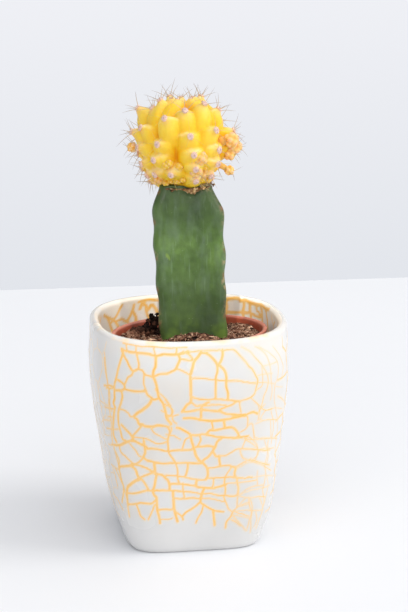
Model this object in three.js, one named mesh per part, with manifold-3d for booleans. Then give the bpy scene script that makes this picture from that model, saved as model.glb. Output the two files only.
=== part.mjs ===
// Potted moon cactus: a yellow grafted cactus on a three-ribbed green rootstock, growing in a thin
// plastic nursery pot that stands askew inside a glazed, softly square ceramic planter.
// Millimetres, +Z up. The origin is the middle of the planter's underside, on the table.
import * as THREE from "three";
import { mergeVertices } from "three/addons/utils/BufferGeometryUtils.js";
import Module from "manifold-3d";

const wasm = await Module();
wasm.setup();

// Driving dimensions of the planter. Its plan is a superellipse: square at the foot, rounder at the rim.
const PLANTER = {
  height: 80.5,
  wall: 3.1,
  floorTop: 7.5,
  floorFillet: 3,
  footRing: 4.5,
  footRecess: 1.4,
  footEdge: 0.8,
  powerAtFoot: 5,
  powerAtWaist: 3.1,
  powerAtRim: 2.5,
  segments: 40,
};

// Half-width of the planter against height, bottom to rim.
const PLANTER_OUTLINE = [
  [23.6, 0],
  [25.4, 4.8],
  [28.7, 16],
  [31.3, 32],
  [33.8, 48],
  [35.2, 64],
  [34.9, 74],
  [34.8, 79],
];

// The nursery pot and all that grows in it lean back and to the left as one.
const LEAN = {
  back: 3.9,
  left: 2,
  rimCentre: [0.4, 0, 75.6],
};

const NURSERY = {
  height: 66.4,
  rimRadius: 28,
  bandRadius: 27.3,
  neckRadius: 26.3,
  baseRadius: 18.3,
  bandHeight: 7,
  bandGrowth: 0.2,
  bandStep: 0.6,
  lip: 1.4,
  lipWidth: 1.6,
  wall: 1,
  floor: 1.1,
  corner: 0.7,
  drainRadius: 2.4,
  drainCircle: 9.5,
  drains: 4,
  segments: 40,
};

const SOIL = {
  depthBelowRim: 2.9,
  moundRise: 1.5,
  moundReach: 17,
  swell: 0.4,
  roughness: 0.45,
  surfaceRings: [23, 20.5, 17.5, 14, 10, 5],
  crumbs: 20,
  crumbRadius: 1.2,
  crumbReach: 23.4,
  crumbSmallest: 0.6,
  crumbRange: 0.7,
  crumbFlatness: 0.8,
  crumbSink: 0.25,
  lumpSmallest: 0.75,
  lumpRange: 0.5,
  clodAt: [-11.3, 9],
  clodRadius: 3.1,
  clodHeight: 8.4,
  sideClod: { at: [-7.9, 5.8], radius: 2.2, stretch: 1.4 },
  segments: 36,
  seed: 77,
};

// The rootstock stands off the nursery pot's axis and turns one hollow face to the front.
const STEM = {
  axis: [2.1, 3],
  turn: -9,
  foot: 34,
  footStraight: 12,
  top: 119.2,
  topInset: 0.1,
  ribReach: 14.05,
  ribReachAtSoil: 13.3,
  ribRadius: 2.6,
  faceHollow: 1.45,
  waistStart: 62,
  waistEnd: 100,
  bevelStart: 108.5,
  ribAtTop: [0.75, 0.64, 0.7],
  waveDepth: 0.35,
  wavePitch: 14,
};

const SCION = {
  centreHeight: 132.8,
  core: 12.2,
  shoulder: 1.1,
  shoulderFrom: 5,
  shoulderTo: 45,
  crownDip: 1.6,
  crownFrom: 64,
  underside: 2.5,
  undersideFrom: 42,
  undersideTo: 66,
  sag: 1,
  sagFrom: 4,
  sagTo: 30,
  lowest: -84,
  highest: 87,
  segments: 54,
  seam: 0.4,
  rings: 28,
  seed: 20,
};

// Ribs of the scion. Each has its turn to the right of the front and how far it turns on with each
// degree of latitude, then the latitudes of its highest tubercle and of its end, and the size of
// the highest.
const RIBS = [
  [9.5, -0.13, 48, -42, 1],
  [43, 0, 54, -40, 1],
  [88, 0, 44, -15, 0.85],
  [128, 0, 62, -54, 1],
  [168, 0, 46, -54, 1],
  [212, 0, 60, -54, 1.05],
  [260, 0, 40, -54, 1.5],
  [292, 0, 62, -40, 1],
  [324, 0.33, 36, -36, 1.1],
];

// Tubercles between the ribs: turn, latitude and size.
const STRAYS = [
  [276, 16, 1.4],
  [340, -31, 0.95],
  [282, 51, 0.85],
];

// Tubercles are shelves with a blunt tip, one below the other on each rib. Angles are in degrees.
const TUBERCLE = {
  height: 4.3,
  tipHeight: 0.8,
  tipFlat: 2.4,
  tipReach: 7.4,
  tipPower: 1.5,
  step: 17,
  stepGrowth: 0.33,
  widthAtPole: 8,
  widthAtMiddle: 14.5,
  sidePower: 2.3,
  slant: 0.3,
  shelfDepth: 2,
  shelfReach: 8,
  shelfGrowth: 0.12,
  shelfPower: 1.4,
  chinReach: 1.15,
  chinFall: 0.66,
  chinPower: 1.3,
  chinEnd: 1.25,
  chinEase: 0.4,
  sizeFrom: 0.9,
  sizeRange: 0.22,
  jitter: 3,
  blend: 4,
};

// Small tubercles that ring the growing point.
const CROWN = {
  count: 5,
  firstTurn: -27,
  latitude: 76,
  size: 0.85,
};

// Pups: turn to the right of the front, latitude, distance of the middle and radius.
const PUPS = [
  [74, 4, 17.2, 2.5],
  [84, -5, 17.6, 2.6],
  [80, -14, 16.4, 2],
  [-88, -1, 18.6, 1.7],
  [70, -30, 18.8, 1.6],
  [22, -14, 14.8, 2.3],
  [16, -31, 15, 2.4],
  [30, -40, 14.6, 2],
  [-56, -44, 16.6, 1.5],
  [150, -22, 16.8, 2.4],
  [176, -34, 16, 2.1],
  [-132, -18, 17.2, 2.2],
];

// A pup is a knobbed bud on a short stalk, sized against the radius of the bud.
const PUP = {
  knob: 1.22,
  hollow: 0.9,
  stalkTip: 0.6,
  stalkFoot: 0.8,
};

const SPINE = {
  perTubercle: 5,
  perTubercleBelow: 4,
  inCrown: 2,
  perPup: 3,
  length: 6.6,
  lengthBelow: 5,
  lengthOnPup: 3.3,
  radius: 0.21,
  spread: 48,
  bend: 14,
  turnJitter: 20,
  spreadJitter: 18,
  shortest: 0.8,
  lengthRange: 0.4,
  kneeSize: 0.8,
  root: 1,
  footing: 0.9,
  seed: 29,
};

// Clearance between pieces that touch each other.
const CLEARANCE = 0.3;

// Smallest detail that a cut or a union may leave.
const FINEST = 0.03;

const radians = THREE.MathUtils.degToRad;
const clamp = THREE.MathUtils.clamp;
const lerp = THREE.MathUtils.lerp;
const smoothstep = THREE.MathUtils.smoothstep;

// A seeded stream of numbers from 0 to 1.
function makeRandom(seed) {
  let state = seed;
  return () => {
    state = (state * 16807) % 2147483647;
    return state / 2147483647;
  };
}

// Closed skin over a stack of rings, each anticlockwise seen from above, with a fan at both ends.
function skinOver(rings) {
  const count = rings[0].length;
  const vertices = rings.flat().flatMap((point) => [point.x, point.y, point.z]);
  const faces = [];
  for (let ring = 0; ring + 1 < rings.length; ring += 1) {
    for (let k = 0; k < count; k += 1) {
      const next = (k + 1) % count;
      const a = ring * count + k;
      const b = ring * count + next;
      faces.push(a, b, b + count, a, b + count, a + count);
    }
  }
  const ends = [rings[0], rings[rings.length - 1]];
  ends.forEach((ring, end) => {
    const middle = new THREE.Vector3();
    ring.forEach((point) => middle.addScaledVector(point, 1 / count));
    const centre = vertices.length / 3;
    const first = end * (rings.length - 1) * count;
    vertices.push(middle.x, middle.y, middle.z);
    for (let k = 0; k < count; k += 1) {
      const next = first + ((k + 1) % count);
      faces.push(...(end ? [centre, first + k, next] : [centre, next, first + k]));
    }
  });
  const geometry = new THREE.BufferGeometry();
  geometry.setAttribute("position", new THREE.Float32BufferAttribute(vertices, 3));
  geometry.setIndex(faces);
  return geometry;
}

function toSolid(geometry) {
  const plain = geometry.clone();
  plain.deleteAttribute("normal");
  plain.deleteAttribute("uv");
  const merged = mergeVertices(plain, 1e-4);
  const mesh = new wasm.Mesh({
    numProp: 3,
    vertProperties: new Float32Array(merged.attributes.position.array),
    triVerts: new Uint32Array(merged.index.array),
  });
  return new wasm.Manifold(mesh);
}

// The largest body of a solid, without the loose scraps that a cut leaves.
function withoutScraps(solid) {
  return solid.decompose().reduce((best, body) => (body.volume() > best.volume() ? body : best));
}

// Mesh of a solid, its edges shorter than the finest detail closed up.
function toGeometry(solid) {
  const mesh = withoutScraps(solid.simplify(FINEST)).getMesh();
  const geometry = new THREE.BufferGeometry();
  geometry.setAttribute("position", new THREE.BufferAttribute(mesh.vertProperties, 3));
  geometry.setIndex(new THREE.BufferAttribute(mesh.triVerts, 1));
  return geometry;
}

// A node, shaded flat, in the colour and finish of its material.
function piece(name, geometry, color, roughness) {
  const material = new THREE.MeshStandardMaterial({ color, roughness, metalness: 0, flatShading: true });
  const mesh = new THREE.Mesh(geometry, material);
  mesh.name = name;
  return mesh;
}

// Planter

function planterPower(height) {
  const waist = PLANTER.height / 2;
  if (height < waist) {
    return lerp(PLANTER.powerAtFoot, PLANTER.powerAtWaist, height / waist);
  }
  return lerp(PLANTER.powerAtWaist, PLANTER.powerAtRim, (height - waist) / waist);
}

// One ring of the softly square plan.
function squareRing(halfWidth, height) {
  const power = planterPower(height);
  const ring = [];
  for (let k = 0; k < PLANTER.segments; k += 1) {
    const angle = (2 * Math.PI * k) / PLANTER.segments;
    const x = Math.abs(Math.cos(angle)) ** power;
    const y = Math.abs(Math.sin(angle)) ** power;
    const reach = halfWidth / (x + y) ** (1 / power);
    ring.push(new THREE.Vector3(reach * Math.cos(angle), reach * Math.sin(angle), height));
  }
  return ring;
}

function makePlanter() {
  const outline = new THREE.SplineCurve(PLANTER_OUTLINE.map(([x, y]) => new THREE.Vector2(x, y)));
  const outside = outline.getPoints(9);
  const foot = outside.shift();
  const recess = foot.x - PLANTER.footRing;
  const rings = [
    squareRing(recess * 0.5, PLANTER.footRecess),
    squareRing(recess - PLANTER.footRecess, PLANTER.footRecess),
    squareRing(recess, 0),
    squareRing(foot.x - PLANTER.footEdge, 0),
    squareRing(foot.x + 0.1, PLANTER.footEdge),
  ];
  outside.forEach((point) => rings.push(squareRing(point.x, point.y)));
  const shoulder = outside[outside.length - 1];
  const lipRadius = PLANTER.wall / 2;
  const lipRise = PLANTER.height - shoulder.y;
  for (let step = 1; step < 5; step += 1) {
    const turn = (Math.PI * step) / 5;
    const across = shoulder.x - lipRadius + lipRadius * Math.cos(turn);
    rings.push(squareRing(across, shoulder.y + lipRise * Math.sin(turn)));
  }
  const filletTop = PLANTER.floorTop + PLANTER.floorFillet;
  outline.getPoints(6).reverse().forEach((point) => {
    if (point.y > filletTop + 1) {
      rings.push(squareRing(point.x - PLANTER.wall, point.y));
    }
  });
  const lowest = outline.getPoints(200).find((point) => point.y >= filletTop);
  for (let step = 0; step < 3; step += 1) {
    const turn = (Math.PI / 2) * (step / 2);
    const inset = PLANTER.floorFillet * (1 - Math.cos(turn));
    const drop = PLANTER.floorFillet * Math.sin(turn);
    rings.push(squareRing(lowest.x - PLANTER.wall - inset, filletTop - drop));
  }
  rings.push(squareRing(lowest.x * 0.4, PLANTER.floorTop));
  return skinOver(rings);
}

// Nursery pot, in the leaning frame with its underside at height 0.

function makeNurseryPot() {
  const { height, lip, lipWidth, corner } = NURSERY;
  const bandFoot = height - NURSERY.bandHeight;
  const floorRadius = NURSERY.baseRadius - NURSERY.wall;
  const profile = [
    [0, 0],
    [NURSERY.baseRadius - corner, 0],
    [NURSERY.baseRadius, corner],
    [NURSERY.neckRadius, bandFoot - NURSERY.bandStep],
    [NURSERY.bandRadius, bandFoot],
    [NURSERY.bandRadius + NURSERY.bandGrowth, height - lip],
    [NURSERY.rimRadius, height - lip * 0.8],
    [NURSERY.rimRadius, height - lip * 0.3],
    [NURSERY.rimRadius - lip * 0.35, height],
    [NURSERY.rimRadius - lip, height - lip * 0.2],
    [NURSERY.rimRadius - lipWidth, height - lip],
    [NURSERY.neckRadius - NURSERY.wall, bandFoot - NURSERY.lipWidth],
    [floorRadius, NURSERY.floor + corner],
    [floorRadius - corner, NURSERY.floor],
    [0, NURSERY.floor],
  ];
  const points = profile.map(([x, y]) => new THREE.Vector2(x, y));
  const lathe = new THREE.LatheGeometry(points, NURSERY.segments);
  lathe.rotateX(Math.PI / 2);
  let pot = toSolid(lathe);
  for (let k = 0; k < NURSERY.drains; k += 1) {
    const drain = new THREE.CylinderGeometry(NURSERY.drainRadius, NURSERY.drainRadius, 4, 10);
    const angle = (2 * Math.PI * (k + 0.5)) / NURSERY.drains;
    drain.rotateX(Math.PI / 2);
    drain.translate(NURSERY.drainCircle * Math.cos(angle), NURSERY.drainCircle * Math.sin(angle), 0);
    pot = pot.subtract(toSolid(drain));
  }
  return toGeometry(pot);
}

// Inner radius of the nursery pot at a height.
function nurseryInside(height) {
  const { floor, lip, lipWidth, wall } = NURSERY;
  const neckTop = NURSERY.height - NURSERY.bandHeight - lipWidth;
  const neck = NURSERY.neckRadius - wall;
  if (height < neckTop) {
    return lerp(NURSERY.baseRadius - wall, neck, (height - floor) / (neckTop - floor));
  }
  const rim = NURSERY.rimRadius - lipWidth;
  return lerp(neck, rim, (height - neckTop) / (NURSERY.height - lip - neckTop));
}

// Rootstock

// One cross-section: three round ribs joined by hollow faces, `grow` larger all round.
function stemRing(height, grow) {
  const bevel = smoothstep(height, STEM.bevelStart, STEM.top + 2);
  const full = lerp(STEM.ribReachAtSoil, STEM.ribReach, smoothstep(height, STEM.waistStart, STEM.waistEnd));
  const [axisX, axisY] = STEM.axis;
  const tips = STEM.ribAtTop.map((atTop, rib) => {
    const wave = STEM.waveDepth * Math.cos((2 * Math.PI * height) / STEM.wavePitch + 2.1 * rib);
    const reach = (full + wave) * lerp(1, atTop, bevel) - STEM.ribRadius;
    const angle = radians(-150 + 120 * rib + STEM.turn);
    const centre = new THREE.Vector2(reach * Math.cos(angle), reach * Math.sin(angle));
    return [-70, -35, 0, 35, 70].map((turn) => {
      const outward = angle + radians(turn);
      const radius = STEM.ribRadius + grow;
      return new THREE.Vector2(radius * Math.cos(outward), radius * Math.sin(outward)).add(centre);
    });
  });
  const ring = tips.flatMap((arc, rib) => {
    const from = arc[arc.length - 1];
    const to = tips[(rib + 1) % tips.length][0];
    const middle = from.clone().lerp(to, 0.5);
    const hollow = STEM.faceHollow * (1 - bevel);
    const control = middle.clone().setLength(middle.length() - 2 * hollow);
    const face = new THREE.QuadraticBezierCurve(from, control, to).getPoints(4).slice(1, 4);
    return [...arc, ...face];
  });
  return ring.map((point) => new THREE.Vector3(point.x + axisX, point.y + axisY, height));
}

// The whole rootstock, or the clearance hole round it when `grow` is above 0.
function makeStem(grow, top) {
  const heights = [STEM.foot - grow];
  for (let height = STEM.foot + STEM.footStraight; height < STEM.bevelStart; height += STEM.wavePitch / 4) {
    heights.push(height);
  }
  for (let step = 0; step < 4; step += 1) {
    heights.push(lerp(STEM.bevelStart, STEM.top - 0.8, step / 3));
  }
  const rings = heights.map((height) => stemRing(height, grow));
  const crown = stemRing(STEM.top, grow);
  crown.forEach((point) => {
    point.x = lerp(point.x, STEM.axis[0], STEM.topInset);
    point.y = lerp(point.y, STEM.axis[1], STEM.topInset);
    point.z = top;
  });
  rings.push(crown);
  return skinOver(rings);
}

// Soil

function soilHeight(x, y, random) {
  const nearStem = Math.hypot(x - STEM.axis[0], y + 2) / SOIL.moundReach;
  const mound = SOIL.moundRise * (1 - smoothstep(nearStem, 0.2, 1));
  const swell = SOIL.swell * (Math.sin(0.31 * x + 1) + 0.9 * Math.cos(0.27 * y - 0.16 * x));
  const level = NURSERY.height - SOIL.depthBelowRim;
  return level + mound + swell + SOIL.roughness * (random() - 0.5) * 2;
}

function makeSoilBody(random) {
  const base = NURSERY.floor + CLEARANCE;
  const circle = (radius, height) => {
    const ring = [];
    for (let k = 0; k < SOIL.segments; k += 1) {
      const angle = (2 * Math.PI * k) / SOIL.segments;
      const x = radius * Math.cos(angle);
      const y = radius * Math.sin(angle);
      ring.push(new THREE.Vector3(x, y, height ?? soilHeight(x, y, random)));
    }
    return ring;
  };
  const level = NURSERY.height - SOIL.depthBelowRim;
  const neck = NURSERY.height - NURSERY.bandHeight - NURSERY.lipWidth;
  const rings = [
    circle(nurseryInside(base) - 1.2, base),
    circle(nurseryInside(neck) - CLEARANCE * 1.3, neck),
  ];
  const edge = nurseryInside(level) - CLEARANCE * 2.2;
  [edge, ...SOIL.surfaceRings].forEach((radius) => rings.push(circle(radius)));
  return skinOver(rings);
}

// A rough lump with its middle at a place, stretched upwards.
function makeLump(radius, stretch, place, random, detail) {
  const lump = new THREE.IcosahedronGeometry(radius, detail);
  lump.deleteAttribute("normal");
  lump.deleteAttribute("uv");
  const merged = mergeVertices(lump, 1e-4);
  const points = merged.attributes.position;
  for (let k = 0; k < points.count; k += 1) {
    const swell = SOIL.lumpSmallest + SOIL.lumpRange * random();
    points.setXYZ(k, points.getX(k) * swell, points.getY(k) * swell, points.getZ(k) * swell * stretch);
  }
  merged.rotateZ(random() * Math.PI);
  merged.translate(...place);
  return toSolid(merged);
}

function makeSoil() {
  const random = makeRandom(SOIL.seed);
  let soil = toSolid(makeSoilBody(random));
  const lumps = [];
  for (let k = 0; k < SOIL.crumbs; k += 1) {
    const radius = SOIL.crumbRadius * (SOIL.crumbSmallest + SOIL.crumbRange * random());
    const reach = SOIL.crumbReach * Math.sqrt(random());
    const angle = 2 * Math.PI * random();
    const x = reach * Math.cos(angle);
    const y = reach * Math.sin(angle);
    const height = soilHeight(x, y, () => 0.5) + radius * SOIL.crumbSink;
    lumps.push(makeLump(radius, SOIL.crumbFlatness, [x, y, height], random, 0));
  }
  const [clodX, clodY] = SOIL.clodAt;
  const level = NURSERY.height - SOIL.depthBelowRim;
  const stretch = SOIL.clodHeight / SOIL.clodRadius / 1.3;
  lumps.push(makeLump(SOIL.clodRadius, stretch, [clodX, clodY, level + 1.5], random, 1));
  const { at, radius: sideRadius, stretch: sideStretch } = SOIL.sideClod;
  lumps.push(makeLump(sideRadius, sideStretch, [...at, level + 1.2], random, 1));
  lumps.forEach((lump) => {
    soil = soil.add(lump);
  });
  return toGeometry(soil.subtract(toSolid(makeStem(CLEARANCE, STEM.top))));
}

// Scion

// Direction from the scion's middle: `turn` degrees to the right of the front, then up by `latitude`.
function direction(turn, latitude) {
  const angle = radians(turn - 90 + STEM.turn);
  const across = Math.cos(radians(latitude));
  return new THREE.Vector3(across * Math.cos(angle), across * Math.sin(angle), Math.sin(radians(latitude)));
}

// Angle in degrees from one latitude step to the next, wider towards the crown.
function tubercleStep(latitude) {
  return TUBERCLE.step + TUBERCLE.stepGrowth * Math.max(latitude, 0);
}

function layTubercles() {
  const random = makeRandom(SCION.seed);
  const tubercles = [];
  const add = (turn, latitude, size, inCrown) => {
    const count = latitude > 0 ? SPINE.perTubercle : SPINE.perTubercleBelow;
    const length = latitude > 0 && !inCrown ? SPINE.length : SPINE.lengthBelow;
    tubercles.push({ turn, latitude, size, length, spines: inCrown ? SPINE.inCrown : count });
  };
  RIBS.forEach(([ribTurn, lean, highest, end, sizeOfHighest]) => {
    for (let row = highest; row > end; row -= tubercleStep(row)) {
      const size = TUBERCLE.sizeFrom + TUBERCLE.sizeRange * random();
      const turn = ribTurn + lean * row + TUBERCLE.jitter * (random() - 0.5);
      const latitude = row + TUBERCLE.jitter * (random() - 0.5);
      add(turn, latitude, size * (row === highest ? sizeOfHighest : 1), false);
    }
  });
  STRAYS.forEach(([turn, latitude, size]) => add(turn, latitude, size, false));
  for (let k = 0; k < CROWN.count; k += 1) {
    add(CROWN.firstTurn + (360 * k) / CROWN.count, CROWN.latitude, CROWN.size, true);
  }
  return tubercles;
}

const TUBERCLES = layTubercles();

// How far one tubercle lifts the skin at a turn and latitude: a shelf above, a chin below. Its
// place on the scion gives it a slant of its own.
function tubercleLift(tubercle, turn, latitude) {
  const rise = latitude - tubercle.latitude;
  const narrowing = Math.cos(radians(0.5 * (latitude + tubercle.latitude)));
  const away = narrowing * (((turn - tubercle.turn + 540) % 360) - 180);
  const slanted = away + TUBERCLE.slant * Math.sin(tubercle.turn + 2 * tubercle.latitude) * rise;
  const width = TUBERCLE.widthAtPole + TUBERCLE.widthAtMiddle * Math.cos(radians(tubercle.latitude));
  const step = tubercleStep(tubercle.latitude);
  const side = clamp(1 - Math.abs(slanted / width) ** TUBERCLE.sidePower, 0, 1);
  const reach = TUBERCLE.shelfReach + TUBERCLE.shelfGrowth * step;
  const above = clamp((rise - TUBERCLE.shelfDepth) / reach, 0, 1);
  const shelf = 1 - above ** TUBERCLE.shelfPower;
  const below = Math.max(-rise - TUBERCLE.shelfDepth, 0) / (TUBERCLE.chinReach * step);
  const fall = clamp(1 - TUBERCLE.chinFall * below ** TUBERCLE.chinPower, 0, 1);
  const chin = fall * clamp((TUBERCLE.chinEnd - below) / TUBERCLE.chinEase, 0, 1);
  const distance = Math.max(Math.hypot(away, rise) - TUBERCLE.tipFlat, 0);
  const near = clamp(1 - distance / (TUBERCLE.tipReach - TUBERCLE.tipFlat), 0, 1);
  const tip = TUBERCLE.tipHeight * near ** TUBERCLE.tipPower;
  return tubercle.size * (TUBERCLE.height * side * shelf * chin + tip);
}

// Radius of the scion's skin in a direction given by turn and latitude.
function skinRadius(turn, latitude) {
  let sum = 1;
  TUBERCLES.forEach((tubercle) => {
    sum += Math.exp(TUBERCLE.blend * tubercleLift(tubercle, turn, latitude)) - 1;
  });
  const shoulder = SCION.shoulder * smoothstep(latitude, SCION.shoulderFrom, SCION.shoulderTo);
  const crown = SCION.crownDip * smoothstep(latitude, SCION.crownFrom, SCION.highest);
  const underside = SCION.underside * smoothstep(-latitude, SCION.undersideFrom, SCION.undersideTo);
  const fuller = (1 - Math.sin(radians(turn))) / 2;
  const sag = SCION.sag * fuller * smoothstep(-latitude, SCION.sagFrom, SCION.sagTo);
  return SCION.core + shoulder - crown + underside + sag + Math.log(sum) / TUBERCLE.blend;
}

function makeScionBody() {
  const rings = [];
  for (let ring = 0; ring < SCION.rings; ring += 1) {
    const latitude = lerp(SCION.lowest, SCION.highest, ring / (SCION.rings - 1));
    const points = [];
    for (let k = 0; k < SCION.segments; k += 1) {
      const turn = (360 * (k + SCION.seam)) / SCION.segments;
      points.push(direction(turn, latitude).multiplyScalar(skinRadius(turn, latitude)));
    }
    rings.push(points);
  }
  return skinOver(rings);
}

// A three-sided needle: a buried root, a knee half-way and a point that bends outwards.
function makeNeedle(root, aim, away, length) {
  const knee = root.clone().addScaledVector(aim, length * 0.5);
  const bent = aim.clone().addScaledVector(away, Math.tan(radians(SPINE.bend))).normalize();
  const tip = knee.clone().addScaledVector(bent, length * 0.5);
  const other = aim.clone().cross(away).normalize();
  const side = other.clone().cross(aim);
  const points = [root, knee].flatMap((centre, level) =>
    [0, 120, 240].map((turn) => {
      const size = SPINE.radius * (level ? SPINE.kneeSize : 1);
      const across = side.clone().multiplyScalar(size * Math.cos(radians(turn)));
      return across.addScaledVector(other, size * Math.sin(radians(turn))).add(centre);
    })
  );
  const geometry = new THREE.BufferGeometry().setFromPoints([...points, tip]);
  const sides = [0, 1, 2].flatMap((k) => {
    const next = (k + 1) % 3;
    return [k, next, next + 3, k, next + 3, k + 3, k + 3, next + 3, 6];
  });
  geometry.setIndex([0, 2, 1, ...sides]);
  return toSolid(geometry);
}

// Needles spread round an areole like the rays of a star, the upper ones longer.
function makeNeedles(place, axis, count, length, random) {
  const up = new THREE.Vector3(0, 0, 1);
  const side = up.clone().cross(axis).normalize();
  const rise = axis.clone().cross(side);
  const needles = [];
  const first = 360 * random();
  for (let k = 0; k < count; k += 1) {
    const turn = radians(first + (360 * k) / count + SPINE.turnJitter * (random() - 0.5));
    const spread = radians(SPINE.spread + SPINE.spreadJitter * (random() - 0.5));
    const away = side.clone().multiplyScalar(Math.cos(turn)).addScaledVector(rise, Math.sin(turn));
    const aim = axis.clone().multiplyScalar(Math.cos(spread)).addScaledVector(away, Math.sin(spread));
    const root = place.clone().addScaledVector(aim, -SPINE.root).addScaledVector(away, SPINE.footing);
    const reach = length * (SPINE.shortest + SPINE.lengthRange * random()) + SPINE.root;
    needles.push(makeNeedle(root, aim, away, reach));
  }
  return needles;
}

function makePup(turn, latitude, distance, radius, random) {
  const bud = new THREE.IcosahedronGeometry(radius, 1);
  bud.deleteAttribute("normal");
  bud.deleteAttribute("uv");
  const merged = mergeVertices(bud, 1e-4);
  const points = merged.attributes.position;
  for (let k = 0; k < points.count; k += 1) {
    const swell = k % 3 === 0 ? PUP.knob : PUP.hollow;
    points.setXYZ(k, points.getX(k) * swell, points.getY(k) * swell, points.getZ(k) * swell);
  }
  const axis = direction(turn, latitude);
  const place = axis.clone().multiplyScalar(distance);
  const tip = axis.clone().multiplyScalar(distance + radius);
  merged.translate(place.x, place.y, place.z);
  const length = distance - SCION.core + 1;
  const stalk = new THREE.CylinderGeometry(radius * PUP.stalkTip, radius * PUP.stalkFoot, length, 6);
  stalk.applyQuaternion(new THREE.Quaternion().setFromUnitVectors(new THREE.Vector3(0, 1, 0), axis));
  stalk.translate(...axis.clone().multiplyScalar(distance - length / 2).toArray());
  const needles = makeNeedles(tip, axis, SPINE.perPup, SPINE.lengthOnPup, random);
  return [toSolid(merged), toSolid(stalk), ...needles];
}

function makeScion() {
  const random = makeRandom(SPINE.seed);
  const solids = [toSolid(makeScionBody())];
  PUPS.forEach(([turn, latitude, distance, radius]) => {
    solids.push(...makePup(turn, latitude, distance, radius, random));
  });
  TUBERCLES.forEach(({ turn, latitude, spines, length }) => {
    const axis = direction(turn, latitude);
    const place = axis.clone().multiplyScalar(skinRadius(turn, latitude));
    solids.push(...makeNeedles(place, axis, spines, length, random));
  });
  const whole = wasm.Manifold.union(solids);
  const [x, y] = STEM.axis;
  const placed = whole.translate([x, y, SCION.centreHeight]);
  return toGeometry(placed.subtract(toSolid(makeStem(CLEARANCE, STEM.top + CLEARANCE))));
}

const plant = new THREE.Group();
plant.rotation.set(radians(-LEAN.back), radians(-LEAN.left), 0);
const axisDown = new THREE.Vector3(0, 0, -NURSERY.height).applyEuler(plant.rotation);
plant.position.fromArray(LEAN.rimCentre).add(axisDown);
plant.add(
  piece("nursery_pot", makeNurseryPot(), 0xb4523a, 0.5),
  piece("soil", makeSoil(), 0x4a2f22, 0.95),
  piece("rootstock", makeStem(0, STEM.top), 0x4f7440, 0.5),
  piece("scion", makeScion(), 0xf7c92e, 0.45)
);

const cactus = new THREE.Group();
cactus.add(piece("planter", makePlanter(), 0xe6e4e1, 0.25), plant);

export default cactus;
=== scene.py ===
"""Potted moon cactus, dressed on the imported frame.

Every sub-assembly is a class: the planter with its crackle, the nursery pot, the soil, the
rootstock, the scion and the studio round them. Sizes are in millimetres and become metres when a
mesh is made. The frame's origin is the middle of the planter's underside and +Z is up.
"""

import logging
import math
from dataclasses import dataclass, field
from enum import Enum
from typing import Callable, Iterable, Sequence

import bpy
import numpy as np
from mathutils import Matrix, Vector
from mathutils.kdtree import KDTree


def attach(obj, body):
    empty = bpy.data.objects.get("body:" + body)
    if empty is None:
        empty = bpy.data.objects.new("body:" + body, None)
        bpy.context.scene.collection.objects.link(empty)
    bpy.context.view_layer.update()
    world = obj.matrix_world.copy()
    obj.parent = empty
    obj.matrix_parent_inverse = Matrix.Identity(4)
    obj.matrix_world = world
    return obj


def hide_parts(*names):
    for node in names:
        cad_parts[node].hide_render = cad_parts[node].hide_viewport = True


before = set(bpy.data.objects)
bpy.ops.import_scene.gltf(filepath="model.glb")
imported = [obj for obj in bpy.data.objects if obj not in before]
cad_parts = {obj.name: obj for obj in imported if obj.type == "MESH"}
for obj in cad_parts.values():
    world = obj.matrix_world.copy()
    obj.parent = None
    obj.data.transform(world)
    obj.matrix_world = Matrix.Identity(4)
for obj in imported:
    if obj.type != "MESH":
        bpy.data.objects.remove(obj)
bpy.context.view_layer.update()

MM = 0.001
GOLDEN_ANGLE = 2.39996
Triple = tuple[float, float, float]
log = logging.getLogger("scene")


class Slot(Enum):
    """Material slots of the record, one named for each dressed piece."""

    GLAZE = "glaze"
    PLASTIC = "terracotta_plastic"
    SOIL = "peat_soil"
    STEM = "green_stem"
    SCION = "yellow_cactus"


# Numbers and shapes

def srgb(code: str) -> tuple[float, float, float, float]:
    """Turns a hex colour such as "F7C82A" into linear red, green, blue and alpha.

    Args:
        code: Six hex digits.

    Returns:
        Linear red, green, blue and alpha.
    """
    parts = [int(code[k : k + 2], 16) / 255 for k in (0, 2, 4)]
    linear = [c / 12.92 if c <= 0.04045 else ((c + 0.055) / 1.055) ** 2.4 for c in parts]
    return (linear[0], linear[1], linear[2], 1.0)


def smoothstep(value: np.ndarray, low: float, high: float) -> np.ndarray:
    """Eases from 0 at low to 1 at high."""
    t = np.clip((np.asarray(value, dtype=float) - low) / (high - low), 0, 1)
    return t * t * (3 - 2 * t)


def lerp(a: np.ndarray, b: np.ndarray, t: np.ndarray) -> np.ndarray:
    """Goes in a straight line from a to b as t goes from 0 to 1."""
    return a + (b - a) * t


def unit(vector: np.ndarray) -> np.ndarray:
    """Scales vectors, held in the last axis, to length 1."""
    return vector / np.maximum(np.linalg.norm(vector, axis=-1, keepdims=True), 1e-12)


class Stream:
    """A seeded stream of numbers from 0 to 1, the same one that the solids are drawn with."""

    def __init__(self, seed: int) -> None:
        """Starts the stream at a seed."""
        self.state = seed

    def __call__(self) -> float:
        """Gives the next number."""
        self.state = (self.state * 16807) % 2147483647
        return self.state / 2147483647


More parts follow.
